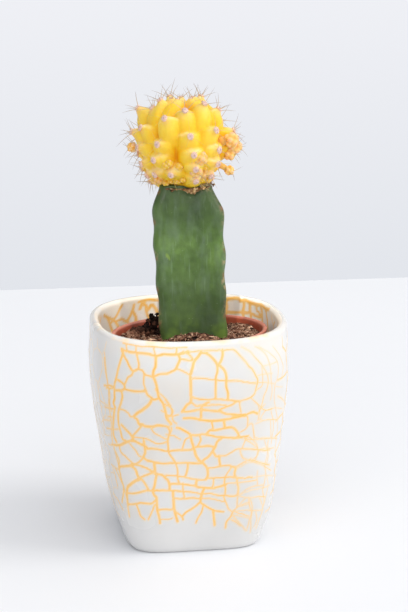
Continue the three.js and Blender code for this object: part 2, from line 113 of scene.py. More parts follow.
def value_noise(points: np.ndarray, pitch: float, seed: int = 0) -> np.ndarray:
    """Smooth noise from -1 to 1 on a lattice of hashed values.

    Args:
        points: Positions in millimetres, with x, y and z in the last axis.
        pitch: Size of a lattice cell in millimetres.
        seed: Picks one of many lattices.

    Returns:
        One value for each point.
    """
    scaled = np.asarray(points, dtype=float) / pitch + 1000.0
    cell = np.floor(scaled).astype(np.int64)
    part = scaled - cell
    part = part * part * (3 - 2 * part)
    total = np.zeros(scaled.shape[:-1])
    for corner in range(8):
        offset = np.array([(corner >> axis) & 1 for axis in range(3)])
        key = cell + offset
        mixed = key[..., 0] * 73856093 ^ key[..., 1] * 19349663 ^ key[..., 2] * 83492791
        mixed = (mixed ^ (seed * 2654435761)) & 0xFFFFFFFF
        mixed = (mixed * 1103515245 + 12345) & 0x7FFFFFFF
        mixed = (mixed ^ (mixed >> 13)) * 1274126177 & 0x7FFFFFFF
        weight = np.prod(np.where(offset, part, 1 - part), axis=-1)
        total += weight * (mixed / 0x7FFFFFFF * 2 - 1)
    return total


def octaves(points: np.ndarray, pitch: float, count: int, seed: int = 0) -> np.ndarray:
    """Adds finer and weaker layers of noise to a coarse one.

    Args:
        points: Positions in millimetres, with x, y and z in the last axis.
        pitch: Size of the coarsest lattice cell in millimetres.
        count: Number of layers.
        seed: Picks the lattices.

    Returns:
        One value for each point.
    """
    total = np.zeros(np.asarray(points).shape[:-1])
    for layer in range(count):
        total += value_noise(points, pitch / 2**layer, seed + 17 * layer) / 2**layer
    return total


@dataclass
class Skin:
    """Points in millimetres, faces and values per point, gathered for one mesh object."""

    points: list[np.ndarray] = field(default_factory=list)
    faces: list[list[int]] = field(default_factory=list)
    values: dict[str, list[np.ndarray]] = field(default_factory=dict)
    count: int = 0

    def add(self, points: np.ndarray, faces: Iterable[Sequence[int]], **values: object) -> None:
        """Adds a patch.

        Args:
            points: An array of n by 3 positions.
            faces: Faces, as indices into points.
            **values: A number or n numbers for each named value; all patches name the same ones.
        """
        points = np.asarray(points, dtype=float).reshape(-1, 3)
        base = self.count
        self.points.append(points)
        self.faces.extend([base + int(k) for k in face] for face in faces)
        for name, value in values.items():
            filled = np.broadcast_to(np.asarray(value, dtype=float).reshape(-1), (len(points),))
            self.values.setdefault(name, []).append(filled)
        self.count += len(points)

    def build(self, name: str, material: bpy.types.Material) -> bpy.types.Object:
        """Makes the mesh object, shaded smooth.

        Args:
            name: The object's name.
            material: Its only material.

        Returns:
            The new object, linked to the scene.
        """
        mesh = bpy.data.meshes.new(name)
        mesh.from_pydata((np.concatenate(self.points) * MM).tolist(), [], self.faces)
        for key, parts in self.values.items():
            layer = mesh.attributes.new(key, "FLOAT", "POINT")
            layer.data.foreach_set("value", np.concatenate(parts).astype(np.float32))
        mesh.polygons.foreach_set("use_smooth", [True] * len(mesh.polygons))
        mesh.materials.append(material)
        mesh.update()
        made = bpy.data.objects.new(name, mesh)
        bpy.context.scene.collection.objects.link(made)
        return made


def grid_faces(rows: int, columns: int, closed: bool = True) -> list[list[int]]:
    """Quads over stacked rings of points, each ring anticlockwise seen from above.

    Args:
        rows: How many rings.
        columns: How many points a ring has.
        closed: Whether the last point of a ring joins the first.

    Returns:
        The faces, looking outwards.
    """
    faces = []
    for row in range(rows - 1):
        for column in range(columns if closed else columns - 1):
            following = (column + 1) % columns
            a, b = row * columns + column, row * columns + following
            faces.append([a, b, b + columns, a + columns])
    return faces


def circle(radius: float, height: float, count: int) -> np.ndarray:
    """Points of a level circle round the axis."""
    angle = 2 * np.pi * np.arange(count) / count
    return np.column_stack([radius * np.cos(angle), radius * np.sin(angle), np.full(count, height)])


def bow(start: np.ndarray, control: np.ndarray, end: np.ndarray, t: np.ndarray) -> np.ndarray:
    """Points of a curve from start to end that is pulled towards control."""
    return start * (1 - t) ** 2 + 2 * control * t * (1 - t) + end * t**2


def side_and_rise(axis: np.ndarray) -> tuple[np.ndarray, np.ndarray]:
    """A level direction and an upward one, both square to an axis."""
    side = unit(np.cross([0, 0, 1], axis))
    return side, np.cross(axis, side)


def capped_rings(rings: np.ndarray) -> tuple[np.ndarray, list[list[int]]]:
    """Closes a stack of rings with a fan at both ends.

    Args:
        rings: An array of rings by points by 3.

    Returns:
        The points, and the faces over them.
    """
    rows, columns, _ = rings.shape
    middles = [rings[0].mean(axis=0), rings[-1].mean(axis=0)]
    points = np.concatenate([rings.reshape(-1, 3), np.array(middles)])
    faces = grid_faces(rows, columns)
    low, high, last = rows * columns, rows * columns + 1, (rows - 1) * columns
    for k in range(columns):
        following = (k + 1) % columns
        faces.append([low, following, k])
        faces.append([high, last + k, last + following])
    return points, faces


def sphere(subdivisions: int) -> tuple[np.ndarray, list[list[int]]]:
    """A unit sphere of triangles, grown from an icosahedron.

    Args:
        subdivisions: How often each triangle is cut in four.

    Returns:
        The points and the faces.
    """
    golden = (1 + math.sqrt(5)) / 2
    points = [
        (-1, golden, 0), (1, golden, 0), (-1, -golden, 0), (1, -golden, 0),
        (0, -1, golden), (0, 1, golden), (0, -1, -golden), (0, 1, -golden),
        (golden, 0, -1), (golden, 0, 1), (-golden, 0, -1), (-golden, 0, 1),
    ]  # fmt: skip
    points = [list(unit(np.array(p, dtype=float))) for p in points]
    faces = [
        [0, 11, 5], [0, 5, 1], [0, 1, 7], [0, 7, 10], [0, 10, 11],
        [1, 5, 9], [5, 11, 4], [11, 10, 2], [10, 7, 6], [7, 1, 8],
        [3, 9, 4], [3, 4, 2], [3, 2, 6], [3, 6, 8], [3, 8, 9],
        [4, 9, 5], [2, 4, 11], [6, 2, 10], [8, 6, 7], [9, 8, 1],
    ]  # fmt: skip
    for _ in range(subdivisions):
        middles: dict[tuple[int, int], int] = {}
        finer = []

        def middle(a: int, b: int) -> int:
            """Index of the point half-way between two others."""
            key = (min(a, b), max(a, b))
            if key not in middles:
                points.append(list(unit(np.array(points[a]) + np.array(points[b]))))
                middles[key] = len(points) - 1
            return middles[key]

        for a, b, c in faces:
            ab, bc, ca = middle(a, b), middle(b, c), middle(c, a)
            finer += [[a, ab, ca], [b, bc, ab], [c, ca, bc], [ab, bc, ca]]
        faces = finer
    return np.array(points), faces


SPHERES = {level: sphere(level) for level in range(4)}


def tube(path: np.ndarray, radii: Sequence[float], sides: int) -> tuple[np.ndarray, list[list[int]]]:
    """A closed tube along a path.

    Args:
        path: Points along its middle.
        radii: Its radius at each point.
        sides: Number of sides.

    Returns:
        The points and the faces.
    """
    path = np.asarray(path, dtype=float)
    along = unit(np.gradient(path, axis=0))
    helper = np.array([0.0, 0.0, 1.0]) if abs(along[0][2]) < 0.9 else np.array([1.0, 0.0, 0.0])
    across = unit(np.cross(along, helper))
    other = np.cross(along, across)
    turn = 2 * np.pi * np.arange(sides) / sides
    circle = across[:, None] * np.cos(turn)[None, :, None] + other[:, None] * np.sin(turn)[None, :, None]
    rings = path[:, None] + circle * np.asarray(radii, dtype=float)[:, None, None]
    return capped_rings(rings)


def spline(points: Sequence[Sequence[float]], steps: int) -> np.ndarray:
    """Catmull-Rom curve through points, sampled evenly between each two.

    Args:
        points: The points to pass through.
        steps: Samples over the whole curve.

    Returns:
        The samples, one row each.
    """
    knots = np.asarray(points, dtype=float)
    last = len(knots) - 1
    samples = []
    for step in range(steps + 1):
        place = last * step / steps
        k = min(int(place), last)
        t = place - k
        p0, p1 = knots[max(k - 1, 0)], knots[k]
        p2, p3 = knots[min(k + 1, last)], knots[min(k + 2, last)]
        v0, v1 = (p2 - p0) / 2, (p3 - p1) / 2
        cubic = (2 * p1 - 2 * p2 + v0 + v1) * t**3 + (-3 * p1 + 3 * p2 - 2 * v0 - v1) * t**2
        samples.append(cubic + v0 * t + p1)
    return np.array(samples)


# Shaders

Socket = bpy.types.NodeSocket


class Nodes:
    """Adds and links the nodes of one tree."""

    def __init__(self, tree: bpy.types.NodeTree) -> None:
        """Takes the tree."""
        self.tree = tree

    def link(self, source: object, target: Socket) -> None:
        """Links a socket, or sets a plain value.

        Args:
            source: A socket, or a plain value.
            target: The input that takes it.
        """
        if isinstance(source, Socket):
            self.tree.links.new(source, target)
        else:
            target.default_value = source

    def mix(self, amount: object, first: object, second: object, blend: str = "MIX") -> Socket:
        """Mixes two colours.

        Args:
            amount: Share of the second, a number or a socket.
            first: A colour or a socket.
            second: A colour or a socket.
            blend: Blender's name of the way to mix.

        Returns:
            The mixed colour.
        """
        node = self.tree.nodes.new("ShaderNodeMix")
        node.data_type = "RGBA"
        node.blend_type = blend
        self.link(amount, node.inputs[0])
        self.link(first, node.inputs[6])
        self.link(second, node.inputs[7])
        return node.outputs[2]

    def share(self, source: Socket, low: float, high: float) -> Socket:
        """Goes from 0 to 1 as a value goes from low to high.

        Args:
            source: The value.
            low: The value that becomes 0.
            high: The value that becomes 1.

        Returns:
            The share, from 0 to 1.
        """
        node = self.tree.nodes.new("ShaderNodeMapRange")
        node.inputs["From Min"].default_value, node.inputs["From Max"].default_value = low, high
        self.tree.links.new(source, node.inputs["Value"])
        return node.outputs["Result"]


class Shader(Nodes):
    """Adds and links the nodes of one material."""

    def __init__(self, name: str) -> None:
        """Starts a material that has only a Principled shader and an output.

        Args:
            name: The material's name.
        """
        self.material = bpy.data.materials.new(name)
        self.material.use_nodes = True
        super().__init__(self.material.node_tree)
        self.principled = self.tree.nodes["Principled BSDF"]
        self.position = self.tree.nodes.new("ShaderNodeTexCoord").outputs["Object"]

    def value(self, name: str) -> Socket:
        """Reads one of the mesh's values.

        Args:
            name: The value's name.

        Returns:
            The value's socket.
        """
        node = self.tree.nodes.new("ShaderNodeAttribute")
        node.attribute_name = name
        return node.outputs["Fac"]

    def noise(
        self, scale: float, detail: float = 3, distortion: float = 0, stretch: Triple = (1, 1, 1)
    ) -> Socket:
        """Fractal noise in object space.

        Args:
            scale: Cells in a metre.
            detail: Number of finer layers.
            distortion: How far the pattern is bent by itself.
            stretch: Scale along x, y and z.

        Returns:
            The noise's value.
        """
        vector = self.position
        if tuple(stretch) != (1, 1, 1):
            mapping = self.tree.nodes.new("ShaderNodeMapping")
            mapping.inputs["Scale"].default_value = stretch
            self.tree.links.new(vector, mapping.inputs["Vector"])
            vector = mapping.outputs["Vector"]
        node = self.tree.nodes.new("ShaderNodeTexNoise")
        node.inputs["Scale"].default_value = scale
        node.inputs["Detail"].default_value = detail
        node.inputs["Distortion"].default_value = distortion
        self.tree.links.new(vector, node.inputs["Vector"])
        return node.outputs["Fac"]

    def ramp(self, source: Socket, stops: Sequence[tuple[float, object]]) -> Socket:
        """Maps a value to colours or greys.

        Args:
            source: The value.
            stops: Pairs of a place and a hex colour or a grey.

        Returns:
            The colour.
        """
        node = self.tree.nodes.new("ShaderNodeValToRGB")
        elements = node.color_ramp.elements
        while len(elements) < len(stops):
            elements.new(0.5)
        for element, (place, tint) in zip(elements, stops):
            element.position = place
            element.color = srgb(tint) if isinstance(tint, str) else (tint, tint, tint, 1.0)
        self.tree.links.new(source, node.inputs["Fac"])
        return node.outputs["Color"]

    def math(self, operation: str, first: object, second: object = 0.0, clamp: bool = False) -> Socket:
        """Does one sum with two numbers or sockets.

        Args:
            operation: Blender's name of the sum.
            first: The first number or socket.
            second: The second one.
            clamp: Whether the answer stays between 0 and 1.

        Returns:
            The answer.
        """
        node = self.tree.nodes.new("ShaderNodeMath")
        node.operation = operation
        node.use_clamp = clamp
        self.link(first, node.inputs[0])
        self.link(second, node.inputs[1])
        return node.outputs[0]

    def bump(self, height: Socket, depth: float, strength: float = 1.0) -> None:
        """Adds a relief of a depth in millimetres over the ones added before.

        Args:
            height: The relief.
            depth: Its depth in millimetres.
            strength: How much of it shows.
        """
        node = self.tree.nodes.new("ShaderNodeBump")
        node.inputs["Strength"].default_value = strength
        node.inputs["Distance"].default_value = depth * MM
        self.tree.links.new(height, node.inputs["Height"])
        normal = self.principled.inputs["Normal"]
        if normal.is_linked:
            self.tree.links.new(normal.links[0].from_socket, node.inputs["Normal"])
        self.tree.links.new(node.outputs["Normal"], normal)

    def finish(self, **values: object) -> bpy.types.Material:
        """Sets or links the shader's sockets, named with underscores, and gives the material.

        Args:
            **values: Numbers, colours or sockets, each under the name of its socket.

        Returns:
            The finished material.
        """
        for name, value in values.items():
            self.link(value, self.principled.inputs[name.replace("_", " ")])
        return self.material


COAT = {"Coat_Weight": 0.35, "Coat_Roughness": 0.08}


def flesh_values(weight: float, radius_mm: Triple) -> dict[str, object]:
    """Shader values of a moist skin: how much light enters it and how far red, green and blue go.

    Args:
        weight: Share of the light that enters the skin.
        radius_mm: How far red, green and blue spread, in millimetres.

    Returns:
        The values by name, for Shader.finish.
    """
    radius = tuple(value * MM for value in radius_mm)
    names = ("Subsurface_Weight", "Subsurface_Radius", "Subsurface_Scale", "Specular_IOR_Level")
    return dict(zip(names, (weight, radius, 1.0, 0.3)))


@dataclass(frozen=True)
class GlazeFinish:
    """White glaze with a soft gloss and faint clouds; stain has soaked in beside the cracks. The inside is
    painted whiter, as painted light in the shaded mouth.
    """

    light: str = "E3E2E0"
    cloud: str = "DAD9D7"
    soaked: str = "FADCAB"
    deep: str = "FECB78"

    def material(self) -> bpy.types.Material:
        """Makes the material.

        Returns:
            The material.
        """
        shader = Shader("glaze_white")
        cloud = shader.ramp(shader.noise(38, 3), [(0.35, self.light), (0.7, self.cloud)])
        # Painted light: the inner wall and floor are mixed towards a whiter glaze, to lighten the shaded
        # inside.
        cloud = shader.mix(shader.value("inner"), cloud, srgb("FBF7F1"))
        speck = shader.ramp(shader.noise(900, 2), [(0.72, 0.0), (0.8, 0.35)])
        colour = shader.mix(speck, cloud, srgb("E2DDD4"))
        soak = shader.value("soak")
        stain = shader.ramp(soak, [(0.2, self.soaked), (0.9, self.deep)])
        colour = shader.mix(shader.math("MULTIPLY", soak, 1.25, clamp=True), colour, stain)
        shader.bump(shader.noise(160, 2), 0.12, 0.35)
        shader.bump(shader.noise(1500, 2), 0.02, 0.3)
        rough = shader.ramp(shader.noise(60, 3), [(0.3, 0.2), (0.75, 0.3)])
        return shader.finish(Base_Color=colour, Roughness=rough, **COAT)


@dataclass(frozen=True)
class StainFinish:
    """Yellow-orange stain in the cracks of the glaze, paler where a crack is fine."""

    deep: str = "FFBF56"
    middle: str = "FFD084"
    pale: str = "FBE3B8"

    def material(self) -> bpy.types.Material:
        """Makes the material.

        Returns:
            The material.
        """
        shader = Shader("crackle_stain")
        patchy = shader.ramp(shader.noise(220, 3), [(0.3, 0.5), (0.65, 1.0)])
        amount = shader.math("MULTIPLY", shader.value("stain"), patchy)
        colour = shader.ramp(amount, [(0.0, self.pale), (0.35, self.middle), (0.95, self.deep)])
        return shader.finish(Base_Color=colour, Roughness=0.26, **COAT)


@dataclass(frozen=True)
class PlasticFinish:
    """Terracotta-coloured moulded plastic, scuffed and dusted with soil, with a painted pinkish highlight
    along the top of its lip.
    """

    body: str = "A94E35"
    dark: str = "823724"

    def material(self) -> bpy.types.Material:
        """Makes the material.

        Returns:
            The material.
        """
        shader = Shader("terracotta_plastic")
        tint = shader.ramp(shader.noise(90, 4), [(0.3, self.dark), (0.62, self.body)])
        dust = shader.ramp(shader.noise(420, 5, 0.6), [(0.52, 0.0), (0.7, 1.0)])
        dust = shader.math("MULTIPLY", dust, shader.value("dust"))
        # Painted highlight: the top of the rolled lip is mixed towards a paler pink.
        tint = shader.mix(shader.value("lip"), tint, srgb("DD9078"))
        colour = shader.mix(dust, tint, srgb("5A3A2A"))
        rough = shader.ramp(shader.noise(300, 3), [(0.3, 0.34), (0.7, 0.52)])
        shader.bump(shader.noise(1800, 3), 0.03, 0.4)
        return shader.finish(Base_Color=colour, Roughness=rough)


@dataclass(frozen=True)
class SoilFinish:
    """Damp peat: each crumb has its own brown, and fibres are tan."""

    browns: Sequence[tuple[float, str]] = (
        (0.0, "140C09"), (0.12, "2C1B14"), (0.34, "6C4837"), (0.62, "96705A"), (1.0, "D2B093"),
    )  # fmt: skip

    def material(self) -> bpy.types.Material:
        """Makes the material.

        Returns:
            The material.
        """
        shader = Shader("peat")
        grain = shader.noise(1500, 5)
        brown = shader.ramp(shader.value("tone"), self.browns)
        colour = shader.mix(0.55, brown, shader.ramp(grain, [(0.35, 0.1), (0.65, 0.75)]), "OVERLAY")
        shader.bump(grain, 0.25, 0.8)
        shader.bump(shader.noise(420, 3), 0.4, 0.6)
        return shader.finish(Base_Color=colour, Roughness=0.9, Specular_IOR_Level=0.12)


@dataclass(frozen=True)
class StemFinish:
    """Waxy green stem with mottled flesh, pale specks and a corky rib edge."""

    dark: str = "3A4F2B"
    middle: str = "4B652F"
    light: str = "5E7A3B"
    grey: str = "687B67"
    fresh: str = "93AE45"
    cork: str = "B59A76"

    def material(self) -> bpy.types.Material:
        """Makes the material.

        Returns:
            The material.
        """
        shader = Shader("stem_green")
        broad = shader.noise(110, 5, 0.3, (1, 1, 0.5))
        fine = shader.noise(420, 4)
        flesh = shader.ramp(broad, [(0.3, self.dark), (0.5, self.middle), (0.74, self.light)])
        flesh = shader.mix(0.4, flesh, shader.ramp(fine, [(0.3, 0.28), (0.7, 0.72)]), "OVERLAY")
        bloom = shader.ramp(shader.noise(300, 4, 0.2, (1, 1, 0.35)), [(0.45, 0.0), (0.68, 0.38)])
        flesh = shader.mix(bloom, flesh, srgb(self.grey))
        streak = shader.ramp(shader.noise(900, 2, 0, (1, 1, 0.08)), [(0.62, 0.0), (0.72, 0.18)])
        flesh = shader.mix(streak, flesh, srgb("8FA886"))
        dash = shader.ramp(shader.noise(190, 1, 0.2, (1, 1, 0.6)), [(0.73, 0.0), (0.78, 0.7)])
        flesh = shader.mix(dash, flesh, srgb(self.fresh))
        patches = shader.ramp(shader.noise(130, 3), [(0.42, 0.0), (0.62, 1.0)])
        foot = shader.math("MULTIPLY", shader.value("foot"), patches)
        flesh = shader.mix(foot, flesh, srgb("7C9E3A"))
        flesh = shader.mix(shader.math("MULTIPLY", shader.value("shade"), 0.55), flesh, srgb("35452A"))
        speck = shader.ramp(shader.noise(1500, 2), [(0.71, 0.0), (0.79, 0.35)])
        flesh = shader.mix(speck, flesh, srgb("A9B898"))
        broken = shader.ramp(shader.noise(650, 4), [(0.42, 0.0), (0.55, 1.0)])
        crust = shader.math("MULTIPLY", shader.value("cork"), broken)
        flesh = shader.mix(crust, flesh, srgb(self.cork))
        flesh = shader.mix(shader.value("scar"), flesh, srgb("7A5B3E"))
        shader.bump(shader.noise(1100, 4), 0.08, 0.5)
        shader.bump(shader.noise(260, 3), 0.3, 0.35)
        rough = shader.ramp(fine, [(0.3, 0.34), (0.7, 0.5)])
        return shader.finish(Base_Color=flesh, Roughness=rough, **flesh_values(0.12, (1.2, 2.4, 0.6)))


@dataclass(frozen=True)
class ScionFinish:
    """Translucent yellow flesh: deeper yellow in the valleys and paler on the ridges as painted shade and
    light, peach at the tips, and painted highlights above the areoles.
    """

    name: str = "scion_yellow"
    valley: str = "EFAA0E"
    flank: str = "F9C419"
    ridge: str = "FFD643"
    ledge: str = "FFEDAE"
    tip: str = "F8BC9A"

    def material(self) -> bpy.types.Material:
        """Makes the material.

        Returns:
            The material.
        """
        shader = Shader(self.name)
        # Painted shade and light: the colour follows the height above the valleys, deeper yellow low in the
        # valleys and paler on the ridges.
        drift = shader.math("SUBTRACT", shader.noise(240, 3), 0.5)
        broken = shader.math("ADD", shader.value("lift"), shader.math("MULTIPLY", drift, 0.35))
        flesh = shader.ramp(broken, [(0.05, self.valley), (0.45, self.flank), (0.95, self.ridge)])
        fine = shader.ramp(shader.noise(900, 4), [(0.3, 0.42), (0.7, 0.6)])
        flesh = shader.mix(0.35, flesh, fine, "OVERLAY")
        patchy = shader.ramp(shader.noise(520, 3), [(0.36, 0.45), (0.62, 1.0)])
        # Painted highlight on the top faces of the tubercles, above each areole.
        flesh = shader.mix(shader.math("MULTIPLY", shader.value("ledge"), patchy), flesh, srgb(self.ledge))
        flesh = shader.mix(shader.value("peach"), flesh, srgb(self.tip))
        shader.bump(shader.noise(700, 4), 0.12, 0.5)
        shader.bump(shader.noise(2600, 2), 0.03, 0.5)
        rough = shader.ramp(shader.noise(500, 3), [(0.3, 0.38), (0.7, 0.55)])
        return shader.finish(Base_Color=flesh, Roughness=rough, **flesh_values(0.35, (2.6, 1.5, 0.5)))


@dataclass(frozen=True)
class PadFinish:
    """Woolly pad of an areole, pinkish white with a greyer middle."""

    def material(self) -> bpy.types.Material:
        """Makes the material.

        Returns:
            The material.
        """
        shader = Shader("areole_wool")
        wool = shader.ramp(shader.noise(2400, 4), [(0.3, "E2B4A4"), (0.6, "F6DACB")])
        colour = shader.mix(shader.value("core"), wool, srgb("BFA0A4"))
        shader.bump(shader.noise(3200, 3), 0.15, 0.9)
        return shader.finish(Base_Color=colour, Roughness=0.95)


@dataclass(frozen=True)
class SpineFinish:
    """Horny spines: tan at the root, grey towards the point."""

    tones: Sequence[tuple[float, str]] = ((0.0, "E2B45C"), (0.3, "C9B08E"), (0.65, "A59A94"), (1.0, "8F868C"))

    def material(self) -> bpy.types.Material:
        """Makes the material.

        Returns:
            The material.
        """
        shader = Shader("spine_horn")
        streak = shader.ramp(shader.noise(900, 3), [(0.35, 0.0), (0.65, 0.5)])
        colour = shader.ramp(shader.value("along"), self.tones)
        colour = shader.mix(streak, colour, srgb("D9C8AC"))
        colour = shader.mix(shader.value("pale"), colour, srgb("F3CB4A"))
        return shader.finish(Base_Color=colour, Roughness=0.5)


@dataclass(frozen=True)
class FlakeFinish:
    """Dry brown skin left at the graft."""

    tones: Sequence[tuple[float, str]] = (
        (0.34, "4A2F1C"), (0.48, "8E683E"), (0.6, "C7A271"), (0.75, "E8D2A6"),
    )  # fmt: skip

    def material(self) -> bpy.types.Material:
        """Makes the material.

        Returns:
            The material.
        """
        shader = Shader("dry_skin")
        colour = shader.ramp(shader.noise(700, 4), self.tones)
        shader.bump(shader.noise(1500, 4), 0.15, 0.8)
        return shader.finish(Base_Color=colour, Roughness=0.8)


@dataclass(frozen=True)
class StageFinish:
    """Plain pale table top."""

    tint: str = "F3F4F6"

    def material(self) -> bpy.types.Material:
        """Makes the material.

        Returns:
            The material.
        """
        shader = Shader("table_white")
        colour = shader.mix(shader.noise(6, 2), srgb(self.tint), srgb("F0F1F4"))
        return shader.finish(Base_Color=colour, Roughness=0.6)


# The leaning frame

@dataclass(frozen=True)
class Lean:
    """The nursery pot and all that grows in it lean back and to the left as one."""

    back: float = 3.9
    left: float = 2.0
    rim_centre: tuple[float, float, float] = (0.4, 0.0, 75.6)
    pot_height: float = 66.4

    def to_world(self, points: np.ndarray) -> np.ndarray:
        """Places points given in the leaning frame, whose height 0 is the pot's underside.

        Args:
            points: Positions in the leaning frame, with x, y and z in the last axis.

        Returns:
            The same positions in the frame of the whole plant.
        """
        a, b = math.radians(-self.back), math.radians(-self.left)
        about_x = np.array([[1, 0, 0], [0, math.cos(a), -math.sin(a)], [0, math.sin(a), math.cos(a)]])
        about_y = np.array([[math.cos(b), 0, math.sin(b)], [0, 1, 0], [-math.sin(b), 0, math.cos(b)]])
        local = np.asarray(points, dtype=float) - np.array([0, 0, self.pot_height])
        return local @ (about_x @ about_y).T + np.array(self.rim_centre)


LEAN = Lean()


@dataclass(frozen=True)
class Camera:
    """The camera of the photograph, as it was fitted to the planter's outline and both rims."""

    azimuth: float = -9.0
    elevation: float = 14.72
    distance: float = 750.0
    sideways: float = 5.79
    target_height: float = 84.34
    sensor: float = 36.0
    focal_pixels: float = 2100.0
    frame_width: float = 408.0
    frame_height: float = 612.0

    def axes(self) -> tuple[np.ndarray, np.ndarray, np.ndarray]:
        """Unit vectors to the camera's right, upwards and back from what it looks at.

        Returns:
            The three vectors.
        """
        a, e = math.radians(self.azimuth), math.radians(self.elevation)
        back = np.array([math.sin(a) * math.cos(e), -math.cos(a) * math.cos(e), math.sin(e)])
        right = np.array([math.cos(a), math.sin(a), 0.0])
        return right, np.cross(back, right), back

    def spot(self) -> np.ndarray:
        """Where it stands, in millimetres."""
        right, _, back = self.axes()
        return right * self.sideways + np.array([0, 0, self.target_height]) + back * self.distance

    def ray(self, across: float, down: float) -> np.ndarray:
        """Unit vector from it through a pixel of the photograph.

        Args:
            across: Pixels from the left.
            down: Pixels from the top.

        Returns:
            The vector.
        """
        right, up, back = self.axes()
        aside = right * (across - self.frame_width / 2) - up * (down - self.frame_height / 2)
        return unit(aside - back * self.focal_pixels)

    def build(self) -> None:
        """Makes it the scene's camera."""
        data = bpy.data.cameras.new("camera")
        data.sensor_width = self.sensor
        data.lens = self.focal_pixels * self.sensor / self.frame_height
        data.clip_start, data.clip_end = 0.01, 50.0
        camera = bpy.data.objects.new("camera", data)
        camera.location = self.spot() * MM
        camera.rotation_mode = "QUATERNION"
        camera.rotation_quaternion = look(-self.axes()[2])
        bpy.context.scene.collection.objects.link(camera)
        bpy.context.scene.camera = camera


CAMERA = Camera()


def look(way: np.ndarray) -> object:
    """Rotation that turns a lamp or camera to look along a way."""
    return Vector(way).to_track_quat("-Z", "Y")


def dress(piece: bpy.types.Object, slot: Slot, *nodes: str) -> bpy.types.Object:
    """Makes a piece ride on the body and stand for the nodes it replaces.

    Args:
        piece: The piece.
        slot: The slot of the record that it belongs to; not used.
        *nodes: Names of the nodes that it replaces.

    Returns:
        The same piece.
    """
    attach(piece, "root")
    if nodes:
        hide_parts(*nodes)
    return piece


# Planter

